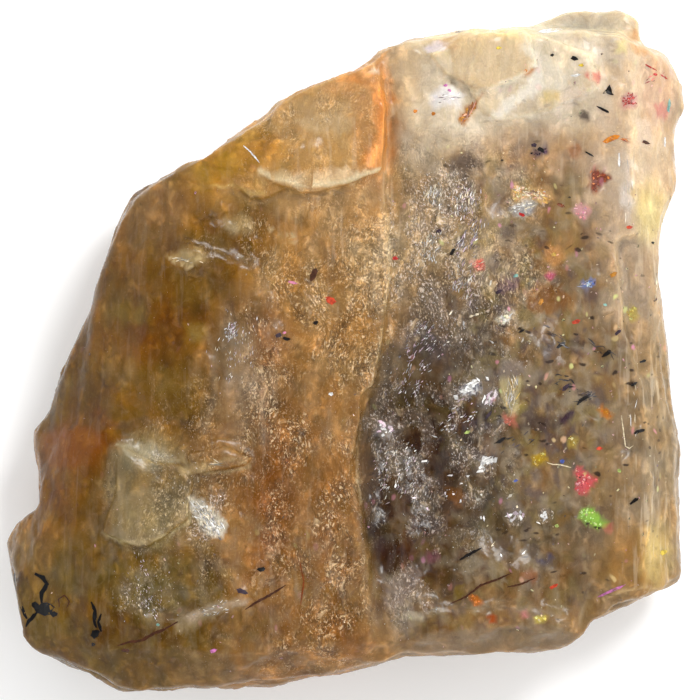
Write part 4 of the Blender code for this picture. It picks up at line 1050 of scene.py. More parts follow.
def paint_zones(mesh, body_colour):
    """Stores the zone colours and the amounts of each kind of flake at each point."""
    points = points_of(mesh) / MM
    normals = points_of(mesh, "normal")
    upward = normals[:, 2]
    drift = 0.8 * np.array([noise.noise_vector(p / 2.3) for p in map(Vector, points)])
    fray = 0.35 * np.array([noise.noise_vector(p / 0.55) for p in map(Vector, points)])
    wander = drift + fray
    x, y = (points + 0.25 * wander)[:, :2].T
    past_seam = x - np.interp(points[:, 1], SEAM_Y, SEAM_X)
    right = smoothstep(-SEAM_WIDTH, SEAM_WIDTH, past_seam)

    colours = paint_body(points, drift, fray, right, body_colour)
    paint_rim_glow_and_shade(colours, points, normals)
    # Pale places vary less than dark ones.
    calm = 1 - 0.6 * smoothstep(0.25, 0.6, colours[:, 1:2])
    colours *= 1 + (tones(points) - 1) * calm
    paint_clouds(colours, points, x, y)
    frayed = points + 0.25 * fray
    paint_panes(colours, frayed[:, 0], frayed[:, 1], upward)
    paint_lip_highlights_and_veils(colours, x, y, upward)
    keep(mesh, "zone_colour", np.maximum(colours - MIRRORED, colours * LEAST_BODY) * LIGHTNESS)
    keep(mesh, "wander", wander)
    store_amounts(mesh, points, x, y, upward, right)


def store_ridges(mesh):
    """Stores how far each point stands above its surroundings: thin lips and edges are above 0."""
    points = points_of(mesh) / MM
    normals = points_of(mesh, "normal")
    ends = np.zeros(len(mesh.edges) * 2, np.int32)
    mesh.edges.foreach_get("vertices", ends)
    a, b = ends.reshape(-1, 2).T
    count = np.bincount(ends, minlength=len(points))[:, None]
    smooth = points.copy()
    for _ in range(10):
        total = np.zeros_like(smooth)
        np.add.at(total, a, smooth[b])
        np.add.at(total, b, smooth[a])
        smooth = (smooth + total / count) / 2
    above = np.einsum("ij,ij->i", points - smooth, normals)
    keep(mesh, "ridge", above)


def node(tree, kind, inputs=None, **settings):
    """Adds one node, with its settings, and its inputs linked or set."""
    made = tree.nodes.new(kind)
    for name, value in settings.items():
        setattr(made, name, value)
    for name, value in (inputs or {}).items():
        if isinstance(value, bpy.types.NodeSocket):
            tree.links.new(value, made.inputs[name])
        else:
            made.inputs[name].default_value = value
    return made


def new_material(name):
    """A material, with its empty node tree."""
    material = bpy.data.materials.new(name)
    material.use_nodes = True
    material.node_tree.nodes.clear()
    return material, material.node_tree


def millimetres(tree):
    """Where each point lies, in millimetres."""
    place = node(tree, "ShaderNodeTexCoord").outputs["Object"]
    return node(tree, "ShaderNodeVectorMath", {0: place, "Scale": 1 / MM}, operation="SCALE").outputs[0]


def rgba(hex_colour):
    """An sRGB hex colour as linear RGBA."""
    return (*linear(hex_colour), 1.0)


def laid(tree, colour, layers, mode="MIX"):
    """The colour under layers, each a colour and the factors of how far it covers what is under it.

    A factor is a number, a socket, or a source, the range of it that counts, and what that range becomes."""
    for over, *factors in layers:
        amount = None
        for factor in factors:
            if isinstance(factor, tuple):
                inputs = dict(enumerate(factor))
                made = node(tree, "ShaderNodeMapRange", inputs, interpolation_type="SMOOTHSTEP")
                factor = made.outputs[0]
            if amount is None:
                amount = factor
            else:
                made = node(tree, "ShaderNodeMath", {0: amount, 1: factor}, operation="MULTIPLY")
                amount = made.outputs[0]
        inputs = {0: amount, 6: colour, 7: rgba(over) if isinstance(over, str) else over}
        colour = node(tree, "ShaderNodeMix", inputs, data_type="RGBA", blend_type=mode).outputs[2]
    return colour


def tilted_facets(tree, vector, scale):
    """Cells that each rise to one side, about -0.3 to 0.3: their rise, the way they rise, and the cells."""
    cells = node(tree, "ShaderNodeTexVoronoi", {"Vector": vector, "Scale": scale}).outputs
    inputs = {0: cells["Color"], 1: (0.5, 0.5, 0.5)}
    way = node(tree, "ShaderNodeVectorMath", inputs, operation="SUBTRACT").outputs[0]
    inputs = {0: vector, 1: cells["Position"]}
    from_middle = node(tree, "ShaderNodeVectorMath", inputs, operation="SUBTRACT").outputs[0]
    inputs = {0: way, 1: from_middle}
    rise = node(tree, "ShaderNodeVectorMath", inputs, operation="DOT_PRODUCT").outputs["Value"]
    rise = node(tree, "ShaderNodeMath", {0: rise, 1: scale}, operation="MULTIPLY").outputs[0]
    return rise, way, cells


def film_dye(tree, share):
    """The bright hue of a thin film, picked by a share from 0 to 1."""
    inputs = {0: share, 1: 0.3, 2: 0.9}
    hue = node(tree, "ShaderNodeMath", inputs, operation="MULTIPLY_ADD").outputs[0]
    hue = node(tree, "ShaderNodeMath", {0: hue}, operation="FRACT").outputs[0]
    return node(tree, "ShaderNodeCombineColor", {0: hue, 1: 0.62, 2: 0.72}, mode="HSV").outputs[0]


def facet_normal(tree, flake, way, turn):
    """The normal of a skin whose small facets each face their own way, so each catches light by itself."""
    lean = node(tree, "ShaderNodeVectorMath", {0: way, "Scale": turn}, operation="SCALE").outputs[0]
    normal = node(tree, "ShaderNodeNewGeometry").outputs["Normal"]
    facing = node(tree, "ShaderNodeVectorMath", {0: normal, 1: lean}, operation="ADD").outputs[0]
    facing = node(tree, "ShaderNodeVectorMath", {0: facing}, operation="NORMALIZE").outputs[0]
    inputs = {"Height": flake, "Strength": 0.7, "Distance": 0.08 * MM, "Normal": facing}
    return node(tree, "ShaderNodeBump", inputs).outputs[0]


def skin_patterns(tree):
    """Patterns on the bent cleavage: grain, sparks, veins, flakes, small chips, facets and slivers."""
    mm = millimetres(tree)
    wander = node(tree, "ShaderNodeAttribute", attribute_name="wander").outputs["Vector"]
    inputs = {0: wander, 1: (0.5, 0.5, 0.5), 2: mm}
    bent = node(tree, "ShaderNodeVectorMath", inputs, operation="MULTIPLY_ADD").outputs[0]

    # Coordinates in millimetres: drawn out along the cleavage, into wisps, into silk, and across it.
    along, wisp, silk, across = (
        node(
            tree, "ShaderNodeMapping", {"Vector": vector, "Rotation": (0.0, 0.0, turn), "Scale": scale}
        ).outputs[0]
        for vector, turn, scale in (
            (bent, 0.0, (1.0, 0.7, 1.0)),
            (mm, 0.0, (1.0, 0.1, 1.0)),
            (bent, 0.0, (1.4, 0.5, 1.0)),
            (bent, math.radians(-32), (0.4, 1.0, 1.0)),
        )
    )

    # Scales are cells a millimetre. Grain and sparks of 0.1 mm, whose bright parts are painted glints, are
    # coarser than real ones, so that they show.
    grain, sparks, veins = (
        node(
            tree, "ShaderNodeTexNoise",
            {"Vector": vector, "Scale": scale, "Detail": detail, "Roughness": 0.6, "Distortion": twist},
        ).outputs["Fac"]
        for vector, scale, detail, twist in (
            (along, 8.5, 1.0, 0.3),
            (silk, 9.0, 1.0, 0.3),
            (wisp, 3.0, 2.0, 0.0),
        )
    )
    flake, _way, flakes = tilted_facets(tree, along, 2.0)
    chip, _way, _chips = tilted_facets(tree, along, 9.0)
    _rise, facet_way, _facets = tilted_facets(tree, along, 12.0)
    slivers = node(tree, "ShaderNodeTexVoronoi", {"Vector": across, "Scale": 2.6}).outputs
    return grain, sparks, veins, flake, flakes, chip, facet_way, slivers


def feldspar():
    """Oligoclase feldspar, freshly cleaved: a glassy shine over a milky body that light sinks into."""
    material, tree = new_material("feldspar_cleaved")
    grain, sparks, veins, flake, flakes, chip, facet_way, slivers = skin_patterns(tree)
    zone = node(tree, "ShaderNodeAttribute", attribute_name="zone_colour").outputs["Color"]
    glitter, silver, specks, striae, clear, ridge = (
        node(tree, "ShaderNodeAttribute", attribute_name=name).outputs["Fac"]
        for name in ("glitter", "silver", "specks", "striae", "clear", "ridge")
    )
    rough = node(tree, "ShaderNodeMath", {0: glitter, 1: silver}, operation="MAXIMUM").outputs[0]
    chosen, dye, _blue = node(tree, "ShaderNodeSeparateColor", {0: flakes["Color"]}).outputs
    sliver = node(tree, "ShaderNodeSeparateColor", {0: slivers["Color"]}).outputs[0]

    # Each is made of a source, the range of it that counts, and what that range becomes.
    lively, flake_painted_shade, chip_painted_shade, grain_tone, silvery, turn, roughness, clearness = (
        node(tree, "ShaderNodeMapRange", dict(enumerate(factor)), interpolation_type="SMOOTHSTEP").outputs[0]
        for factor in (
            (rough, 0.0, 0.7, 0.15, 0.9),
            (flake, -0.22, 0.26, 0.74, 1.3),
            (chip, -0.22, 0.26, 0.7, 1.4),
            (grain, 0.3, 0.72, 0.68, 1.4),
            (silver, 0.1, 0.5, 0.0, 0.7),
            (rough, 0.0, 1.0, 0.03, 0.4),
            (rough, 0.0, 1.0, 0.22, 0.4),
            (clear, 0.2, 1.0, 0.0, 0.2),
        )
    )
    # The flakes and chips are each painted lighter on one side and darker on the other, a painted shading of
    # their tilt; the grain tone varies at random.
    colour = laid(
        tree, zone, [(flake_painted_shade, lively), (chip_painted_shade, lively), (grain_tone, rough)], mode="MULTIPLY"
    )
    film = film_dye(tree, dye)
    # The colour of the painted glints: golden, and silvery where the stone is silvery.
    spark = laid(tree, rgba("#f2dab2"), [("#eee0da", silvery)])
    colour = laid(tree, colour, [
        # Pale striae, a dull veil where the stone is silvery, and dyed films.
        ("#e6d6bc", (veins, 0.54, 0.7, 0.0, 0.25), striae),
        ("#8c7a66", (silver, 0.0, 1.2, 0.0, 0.25)),
        (film, (chosen, 0.84, 0.9, 0.0, 0.7), (flakes["Distance"], 0.34, 0.12, 0.0, 1.0), specks),
        # Painted highlights on the lips of the relief, and painted shade in its hollows.
        ("#e0c89c", (ridge, 0.03, 0.14, 0.0, 0.4), (rough, 0.1, 0.8, 0.15, 1.0)),
        ("#4a2f14", (ridge, -0.03, -0.14, 0.0, 0.4)),
        # Dark slivers, and a painted highlight on the high side of each flake.
        ("#2a1d19", (sliver, 0.62, 0.72, 0.0, 0.85), (slivers["Distance"], 0.3, 0.14, 0.0, 1.0), specks),
        ("#dcc29a", (flake, 0.2, 0.32, 0.0, 0.4), (rough, 0.1, 0.8, 0.05, 1.0)),
        # Painted glints from the bright grains and sparks, and darker flecks between the sparks.
        (spark, (grain, 0.6, 0.7, 0.0, 0.5), (rough, 0.0, 0.8, 0.03, 1.0)),
        (spark, (sparks, 0.6, 0.7, 0.0, 0.45), (rough, 0.0, 0.8, 0.02, 1.0)),
        ("#4a3420", (sparks, 0.38, 0.3, 0.0, 0.4), (rough, 0.0, 0.8, 0.03, 1.0)),
    ])

    # A glassy surface mirrors little head on. Light sinks in by about a millimetre, red the farthest, so thin
    # rims look warm and no edge is hard.
    shader = node(
        tree, "ShaderNodeBsdfPrincipled",
        {
            "Base Color": colour,
            "Roughness": roughness,
            "Normal": facet_normal(tree, flake, facet_way, turn),
            "IOR": FELDSPAR_IOR,
            "Specular IOR Level": 0.16,
            "Transmission Weight": clearness,
            "Subsurface Weight": 0.75,
            "Subsurface Radius": (1.0, 0.75, 0.45),
            "Subsurface Scale": 0.9 * MM,
        },
        subsurface_method="RANDOM_WALK",
    )
    node(tree, "ShaderNodeOutputMaterial", {"Surface": shader.outputs[0]})
    return material


def inclusion(name):
    """Thin mineral plates of one of the FINISHES, that take their colour from each plate's own tint."""
    metallic, roughness, uneven, gloss = FINISHES[name]
    material, tree = new_material(name)
    tint = node(tree, "ShaderNodeAttribute", attribute_name="tint").outputs["Color"]
    inputs = {"Vector": millimetres(tree), "Scale": 6.0, "Detail": 2.0}
    spots = node(tree, "ShaderNodeTexNoise", inputs).outputs["Fac"]
    inputs = {0: spots, 1: 0.3, 2: 0.7, 3: 1 - uneven, 4: 1 + uneven}
    tone = node(tree, "ShaderNodeMapRange", inputs, interpolation_type="SMOOTHSTEP").outputs[0]
    inputs = {
        "Base Color": laid(tree, tint, [(tone, 1.0)], mode="MULTIPLY"),
        "Metallic": metallic,
        "Roughness": roughness,
        "Specular IOR Level": gloss,
    }
    if not metallic:
        inputs["IOR"] = FELDSPAR_IOR
    shader = node(tree, "ShaderNodeBsdfPrincipled", inputs)
    node(tree, "ShaderNodeOutputMaterial", {"Surface": shader.outputs[0]})
    return material


class SUNSTONE_OT_skin(bpy.types.Operator):
    """Remake the slab's surface finely, with its small cleavage steps, zones and finish"""

    bl_idname = "sunstone.skin"
    bl_label = "Stone"

    def execute(self, context):
        settings = context.scene.sunstone.stone
        # Vector noise takes its offsets from the clock until it is given a seed other than 0.
        noise.seed_set(settings.seed)
        skin = welded_copy(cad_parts[NODE], "sunstone_skin")
        self.regrain(skin, settings.grain)
        self.raise_relief(skin, settings.tread / MM)
        self.thin_out(skin, settings.most_triangles)
        skin.data.shade_smooth()
        paint_zones(skin.data, settings.body_colour)
        store_ridges(skin.data)
        skin.data.materials.clear()
        skin.data.materials.append(feldspar())
        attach(skin, BODY)
        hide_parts(NODE)
        return {"FINISHED"}

    def regrain(self, skin, grain):
        """Spreads the points of the skin evenly, and rounds off its facets."""
        remesh = skin.modifiers.new("grain", "REMESH")
        remesh.mode = "VOXEL"
        remesh.voxel_size = grain
        rounded = skin.modifiers.new("rounded", "SMOOTH")
        rounded.factor = 0.5
        rounded.iterations = 9
        settle(skin)

    def raise_relief(self, skin, tread):
        """Moves the points of the skin by its relief and scales, within the box of the solid."""
        points = points_of(skin.data) / MM
        normals = points_of(skin.data, "normal")
        heights = relief(points, normals, tread)
        top = smoothstep(0.45, 0.8, normals[:, 2])
        for rise, outline in SCALES.values():
            heights += top * rise * smoothstep(-0.06, 0.08, inside(outline, points[:, 0], points[:, 1]))
        heights *= smoothstep(0.0, FOOT, points[:, 2])
        points += normals * heights[:, None]
        low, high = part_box(NODE)
        points = np.clip(points * MM, np.array(low), np.array(high))
        skin.data.vertices.foreach_set("co", points.astype(np.float32).ravel())
        skin.data.update()

    def thin_out(self, skin, most_triangles):
        """Reduces the skin to a number of triangles, and thins its underside the most."""
        under = skin.vertex_groups.new(name="underside")
        low = [vertex.index for vertex in skin.data.vertices if vertex.co.z < FOOT * MM]
        under.add(low, 1.0, "REPLACE")
        thin = skin.modifiers.new("thin", "DECIMATE")
        thin.vertex_group = under.name
        thin.vertex_group_factor = 3.0
        thin.invert_vertex_group = True
        triangles = sum(len(face.vertices) - 2 for face in skin.data.polygons)
        thin.ratio = min(1.0, most_triangles / triangles)
        settle(skin)


class Skin:
    """Finds the height of the stone's skin."""

    def __init__(self):
        mesh = bpy.data.objects["sunstone_skin"].data
        corners = [vertex.co for vertex in mesh.vertices]
        self.tree = BVHTree.FromPolygons(corners, [face.vertices for face in mesh.polygons])

    def under(self, x, y):
        """The point of the top skin at X and Y in millimetres, in metres."""
        hit = self.cast(x, y)
        if hit is None:
            raise RuntimeError(f"no skin at {x:.2f}, {y:.2f} mm")
        return hit

    def cast(self, x, y):
        """The same, or None past the rim."""
        return self.tree.ray_cast(Vector((x * MM, y * MM, OVERHEAD)), Vector((0, 0, -1)))[0]


class Plates:
    """Gathers thin closed plates, each laid on the skin, into one mesh."""

    def __init__(self, settings):
        self.skin = Skin()
        self.rise = settings.rise
        self.root = settings.root
        self.points = []
        self.faces = []
        self.tints = []

    def lay(self, flat, colour):
        """Adds each X, Y point over the skin and under it, and gives the first index of both sets."""
        first = len(self.points)
        tops = [self.skin.under(x, y) for x, y in flat]
        self.points += [top + Vector((0, 0, self.rise)) for top in tops]
        self.points += [top - Vector((0, 0, self.root)) for top in tops]
        self.tints += [colour] * (2 * len(flat))
        return first, first + len(flat)

    def add(self, rings, centre, colour):
        """Adds a plate: rings of X, Y points from the smallest to the rim, round a centre point."""
        count = len(rings[0])
        first, below = self.lay([centre] + [point for ring in rings for point in ring], colour)
        rim = 1 + (len(rings) - 1) * count
        for i in range(count):
            j = (i + 1) % count
            self.faces.append((first, first + 1 + i, first + 1 + j))
            self.faces.append((below, below + 1 + j, below + 1 + i))
            for ring in range(1, len(rings)):
                a, b = 1 + (ring - 1) * count, 1 + ring * count
                self.faces.append((first + a + i, first + b + i, first + b + j, first + a + j))
                self.faces.append((below + a + j, below + b + j, below + b + i, below + a + i))
            self.faces.append((first + rim + i, below + rim + i, below + rim + j, first + rim + j))

    def stroke(self, centre, turn, length, width, colour, rng):
        """Adds a thin splinter along the turn, in radians, unless it would hang past a rim or a step."""
        left, right = length * rng.uniform(-0.35, 0.35), length * rng.uniform(-0.35, 0.35)
        bulge = width * rng.uniform(0.2, 0.7)
        corners = ((length / 2, 0), (left, bulge), (-length / 2, 0), (right, -width / 2))
        rim = [turned(centre, turn, u, v) for u, v in corners]
        tops = [self.skin.cast(*corner) for corner in rim + [centre]]
        if None not in tops and max(top.z for top in tops) - min(top.z for top in tops) < HIGH_STEP * MM:
            self.add([rim], centre, colour)

    def ribbon(self, points, width, hue, rng):
        """Adds a streak along the points, widest in its middle and ragged at its sides."""
        path = resampled(points, width)
        count = len(path)
        left, right = [], []
        for i, (x, y) in enumerate(path):
            ax, ay = path[max(i - 1, 0)]
            bx, by = path[min(i + 1, count - 1)]
            long = math.hypot(bx - ax, by - ay)
            share = math.sin(math.pi * (i + 0.5) / count) ** 0.5 * width / 2 / long
            for side, sign in ((left, 1), (right, -1)):
                reach = sign * share * rng.uniform(0.6, 1.3)
                side.append((x - (by - ay) * reach, y + (bx - ax) * reach))
        first, below = self.lay(left + right, muted(HUES[hue]))
        for i in range(count - 1):
            a, b, c, d = i, i + 1, count + i + 1, count + i
            self.faces.append((first + d, first + c, first + b, first + a))
            self.faces.append((below + a, below + b, below + c, below + d))
            self.faces.append((first + a, first + b, below + b, below + a))
            self.faces.append((first + c, first + d, below + d, below + c))
        for i, j in ((count, 0), (count - 1, 2 * count - 1)):
            self.faces.append((first + i, first + j, below + j, below + i))

    def finish(self, name, material):
        """Makes the gathered plates one object."""
        mesh = bpy.data.meshes.new(name)
        mesh.from_pydata(self.points, [], self.faces)
        keep(mesh, "tint", np.array(self.tints))
        mesh.materials.append(material)
        piece = new_object(name, mesh)
        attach(piece, BODY)


def resampled(points, step):
    """Points along the same path, no more than step apart."""
    path = [points[0]]
    for (ax, ay), (bx, by) in zip(points, points[1:]):
        parts = max(1, math.ceil(math.hypot(bx - ax, by - ay) / step))
        path += [(ax + (bx - ax) * k / parts, ay + (by - ay) * k / parts) for k in range(1, parts + 1)]
    return path


class SUNSTONE_OT_platelets(bpy.types.Operator):
    """Lay the platelets that show one by one on the skin"""

    bl_idname = "sunstone.platelets"
    bl_label = "Platelets"

    def execute(self, context):
        plates = Plates(context.scene.sunstone.flakes)
        rng = random.Random(context.scene.sunstone.flakes.seed)
        for _name, centre, (length, width), turn, sides, hue in PLATELETS:
            corners = []
            for k in range(sides):
                angle = 2 * math.pi * (k + rng.uniform(-0.22, 0.22)) / sides
                reach = rng.uniform(0.8, 1.1)
                u, v = math.cos(angle) * length / 2 * reach, math.sin(angle) * width / 2 * reach
                corners.append(turned(centre, math.radians(turn), u, v))
            rim = resampled(corners + corners[:1], RIM_STEP)[:-1]
            jag = RIM_JAG * width
            rim = [(x + rng.uniform(-jag, jag), y + rng.uniform(-jag, jag)) for x, y in rim]
            rings = [
                [(centre[0] + (x - centre[0]) * share, centre[1] + (y - centre[1]) * share) for x, y in rim]
                for share in (0.5, 1.0)
            ]
            plates.add(rings, centre, muted(HUES[hue]))
        for name, shades in CRUMBLED.items():
            _colour, _strength, outline = PANES[name]
            self.crumble(plates, outline, shades, rng)
        plates.finish("platelets", inclusion("hematite_platelets_flush"))
        return {"FINISHED"}

    def crumble(self, plates, outline, shades, rng):
        """Spreads small angular crumbs over an outline."""
        xs, ys = zip(*outline)
        count = int((max(xs) - min(xs)) * (max(ys) - min(ys)) * CRUMBS_PER_MM2)
        for _ in range(count):
            x, y = rng.uniform(min(xs), max(xs)), rng.uniform(min(ys), max(ys))
            if inside(outline, np.array([x]), np.array([y]))[0] < 0.02:
                continue
            size, start = rng.uniform(*CRUMB_SIZES), rng.uniform(0, math.tau)
            rim = [
                (x + size * rng.uniform(0.3, 1.2) * math.cos(start + k * math.tau / 4),
                 y + size * rng.uniform(0.3, 1.2) * math.sin(start + k * math.tau / 4))
                for k in range(4)
            ]
            shade = muted(rng.choice(shades))
            plates.add([rim], (x, y), tuple(value * rng.uniform(0.8, 1.1) for value in shade))


class SUNSTONE_OT_streaks(bpy.types.Operator):
    """Lay the streaks, the black dendrites and the pale hairs on the skin"""

    bl_idname = "sunstone.streaks"
    bl_label = "Streaks and fibres"

    def execute(self, context):
        plates = Plates(context.scene.sunstone.flakes)
        rng = random.Random(context.scene.sunstone.flakes.seed)
        for _name, width, hue, points in STREAKS:
            plates.ribbon(points, width, hue, rng)
        plates.finish("streaks", inclusion("iron_oxide_streaks"))
        return {"FINISHED"}


class SUNSTONE_OT_sprays(bpy.types.Operator):
    """Lay the sprays of fine bright strokes, where the cleavage shows as silk and foil, with painted glints
    and sheen
    """

    bl_idname = "sunstone.sprays"
    bl_label = "Sprays"

    def execute(self, context):
        plates = Plates(context.scene.sunstone.flakes)
        rng = random.Random(context.scene.sunstone.flakes.seed)
        for _name, centre, (long, wide), (length, width), turn, count, hues in SPRAYS:
            turn = math.radians(turn)
            chip = width >= CHIP_WIDTH
            clumped = long > CLUMPED and not chip
            for _ in range(count):
                reach, way = math.sqrt(rng.random()) * rng.uniform(0.5, 1.2), rng.uniform(0, math.tau)
                u, v = long * reach * math.cos(way), wide * reach * math.sin(way)
                x, y = turned(centre, turn, u, v)
                if clumped and noise.noise((2.6 * x, 1.9 * y, 4.0)) < rng.uniform(-0.2, 0.25):
                    continue
                share = rng.random()
                pair = zip(linear(HUES[rng.choice(hues)]), linear(HUES[rng.choice(hues)]))
                bright = rng.uniform(0.4, 1.0) ** (1 if chip else 2)
                colour = tuple((a + (b - a) * share) * bright for a, b in pair)
                lean = turn + rng.gauss(0, 0.9 if chip else 0.28)
                size = length * rng.uniform(0.4, 1.5), width * rng.uniform(0.6, 1.3)
                plates.stroke((x, y), lean, *size, colour, rng)
        plates.finish("sprays", inclusion("cleavage_silk"))
        return {"FINISHED"}


def flake_chances(tree, given):
    """The numbers that each flake draws for itself, by name."""
    inputs = {0: given["Spin"], 1: given["Spin spread"]}
    least_spin = node(tree, "ShaderNodeMath", inputs, operation="SUBTRACT").outputs[0]
    most_spin = node(tree, "ShaderNodeMath", inputs, operation="ADD").outputs[0]
    back = node(tree, "ShaderNodeMath", {0: given["Tilt"], 1: -1.0}, operation="MULTIPLY").outputs[0]
    ranges = {
        "spin": (least_spin, most_spin),
        "tilt about X": (back, given["Tilt"]),
        "tilt about Y": (back, given["Tilt"]),
        "size": (given["Smallest"], given["Largest"]),
        "width": (given["Narrow"], WIDEST_FLAKE),
        "hue": (given["Hue from"], given["Hue to"]),
        "value": (0.0, 1.0),
        "light": (0.6, 2.4),
        "share": (0.0, 1.0),
    }
    chances = {}
    for shift, (name, (least, most)) in enumerate(ranges.items(), start=1):
        seed = node(tree, "ShaderNodeMath", {0: given["Seed"], 1: float(shift)}, operation="ADD").outputs[0]
        inputs = {2: least, 3: most, "Seed": seed}
        chances[name] = node(tree, "FunctionNodeRandomValue", inputs, data_type="FLOAT").outputs[1]
    return chances


def flake_turn(tree, chances, normal):
    """How each flake is turned: spun, laid on the skin, and tilted."""
    spin = node(tree, "ShaderNodeCombineXYZ", {"Z": chances["spin"]}).outputs[0]
    turn = node(tree, "FunctionNodeEulerToRotation", {0: spin}).outputs[0]
    inputs = {"Rotation": turn, "Vector": normal}
    turn = node(tree, "FunctionNodeAlignRotationToVector", inputs, axis="Z").outputs[0]
    inputs = {"X": chances["tilt about X"], "Y": chances["tilt about Y"]}
    tilt = node(tree, "ShaderNodeCombineXYZ", inputs).outputs[0]
    tilt = node(tree, "FunctionNodeEulerToRotation", {0: tilt}).outputs[0]
    inputs = {"Rotation": turn, "Rotate By": tilt}
    return node(tree, "FunctionNodeRotateRotation", inputs, rotation_space="LOCAL").outputs[0]


def flake_scale(tree, chances):
    """The half-length of each flake, and its half-width and thickness as a share of that."""
    inputs = {0: chances["size"], 1: chances["width"]}
    narrow = node(tree, "ShaderNodeMath", inputs, operation="MULTIPLY").outputs[0]
    inputs = {"X": chances["size"], "Y": narrow, "Z": narrow}
    return node(tree, "ShaderNodeCombineXYZ", inputs).outputs[0]


def flake_tint(tree, given, chances):
    """The colour of each flake: a tint of its own, taken over in part by the body where it lies."""
    hue = node(tree, "ShaderNodeMath", {0: chances["hue"]}, operation="FRACT").outputs[0]
    value = node(tree, "ShaderNodeMath", {0: chances["value"], 1: 2.0}, operation="POWER").outputs[0]
    value = node(tree, "ShaderNodeMapRange", {0: value, 3: given["Dark"], 4: given["Light"]}).outputs[0]
    inputs = {0: hue, 1: given["Saturation"], 2: value}
    tint = node(tree, "FunctionNodeCombineColor", inputs, mode="HSV").outputs[0]
    inputs = {"Name": "zone_colour"}
    body = node(tree, "GeometryNodeInputNamedAttribute", inputs, data_type="FLOAT_COLOR").outputs["Attribute"]
    body = laid(tree, body, [(WHITE, 0.06)])
    inputs = {0: body, "Scale": chances["light"]}
    body = node(tree, "ShaderNodeVectorMath", inputs, operation="SCALE").outputs[0]
    share = node(tree, "ShaderNodeMath", {0: chances["share"], 1: 0.5}, operation="POWER").outputs[0]
    return laid(tree, tint, [(body, share, given["Own body"])])


def scatter_tree():
    """A node group that strews small closed flakes over a skin, each turned, sized and tinted by itself."""
    tree = bpy.data.node_groups.new("strewn_flakes", "GeometryNodeTree")
    tree.interface.new_socket("Geometry", in_out="INPUT", socket_type="NodeSocketGeometry")
    kinds = {"Amount": "String", "Corners": "Int", "Seed": "Int", "Material": "Material"}
    for name in (*STREWN["gold_glints"], "Seed", "Material"):
        kind = "NodeSocket" + kinds.get(name, "Float")
        tree.interface.new_socket(name, in_out="INPUT", socket_type=kind)
    tree.interface.new_socket("Geometry", in_out="OUTPUT", socket_type="NodeSocketGeometry")
    given = node(tree, "NodeGroupInput").outputs

    inputs = {"Name": given["Amount"]}
    amount = node(tree, "GeometryNodeInputNamedAttribute", inputs, data_type="FLOAT").outputs["Attribute"]
    density = node(tree, "ShaderNodeMath", {0: amount, 1: given["Density"]}, operation="MULTIPLY").outputs[0]
    inputs = {"Mesh": given["Geometry"], "Density": density, "Seed": given["Seed"]}
    strewn = node(tree, "GeometryNodeDistributePointsOnFaces", inputs).outputs

    # A flake is a low cone, pointed or cut flat, whose foot is sunk in the skin.
    inputs = {"Vertices": given["Corners"], "Radius Top": given["Flat"], "Radius Bottom": 1.0, "Depth": 0.3}
    flake = node(tree, "GeometryNodeMeshCone", inputs).outputs["Mesh"]
    inputs = {"Geometry": flake, "Translation": (0.0, 0.0, -0.12)}
    flake = node(tree, "GeometryNodeTransform", inputs).outputs[0]

    chances = flake_chances(tree, given)
    inputs = {
        "Points": strewn["Points"],
        "Instance": flake,
        "Rotation": flake_turn(tree, chances, strewn["Normal"]),
        "Scale": flake_scale(tree, chances),
    }
    flakes = node(tree, "GeometryNodeInstanceOnPoints", inputs).outputs[0]
    inputs = {"Geometry": flakes, "Name": "tint", "Value": flake_tint(tree, given, chances)}
    flakes = node(
        tree, "GeometryNodeStoreNamedAttribute", inputs, data_type="FLOAT_COLOR", domain="INSTANCE"
    ).outputs[0]
    flakes = node(tree, "GeometryNodeRealizeInstances", {0: flakes}).outputs[0]
    inputs = {"Geometry": flakes, "Material": given["Material"]}
    flakes = node(tree, "GeometryNodeSetMaterial", inputs).outputs[0]
    node(tree, "NodeGroupOutput", {0: flakes})
    return tree


class SUNSTONE_OT_scatter(bpy.types.Operator):
    """Strew the glints, the dark specks and the coloured crumbs over the skin"""

    bl_idname = "sunstone.scatter"
    bl_label = "Strewn flakes"

    def execute(self, context):
        tree = scatter_tree()
        glint = inclusion("cleavage_glint_bright")
        iron = inclusion("iron_oxide_flakes_vitreous")
        seed = context.scene.sunstone.flakes.seed
        for name, values in STREWN.items():
            source = bpy.data.objects["sunstone_skin"]
            piece = new_object(name, source.data.copy())
            strew = piece.modifiers.new("strewn", "NODES")
            strew.node_group = tree
            values = {**values, "Seed": seed, "Material": glint if "glint" in name else iron}
            for item in tree.interface.items_tree:
                if item.in_out == "INPUT" and item.name in values:
                    strew[item.identifier] = values[item.name]
            settle(piece)
            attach(piece, BODY)
        return {"FINISHED"}


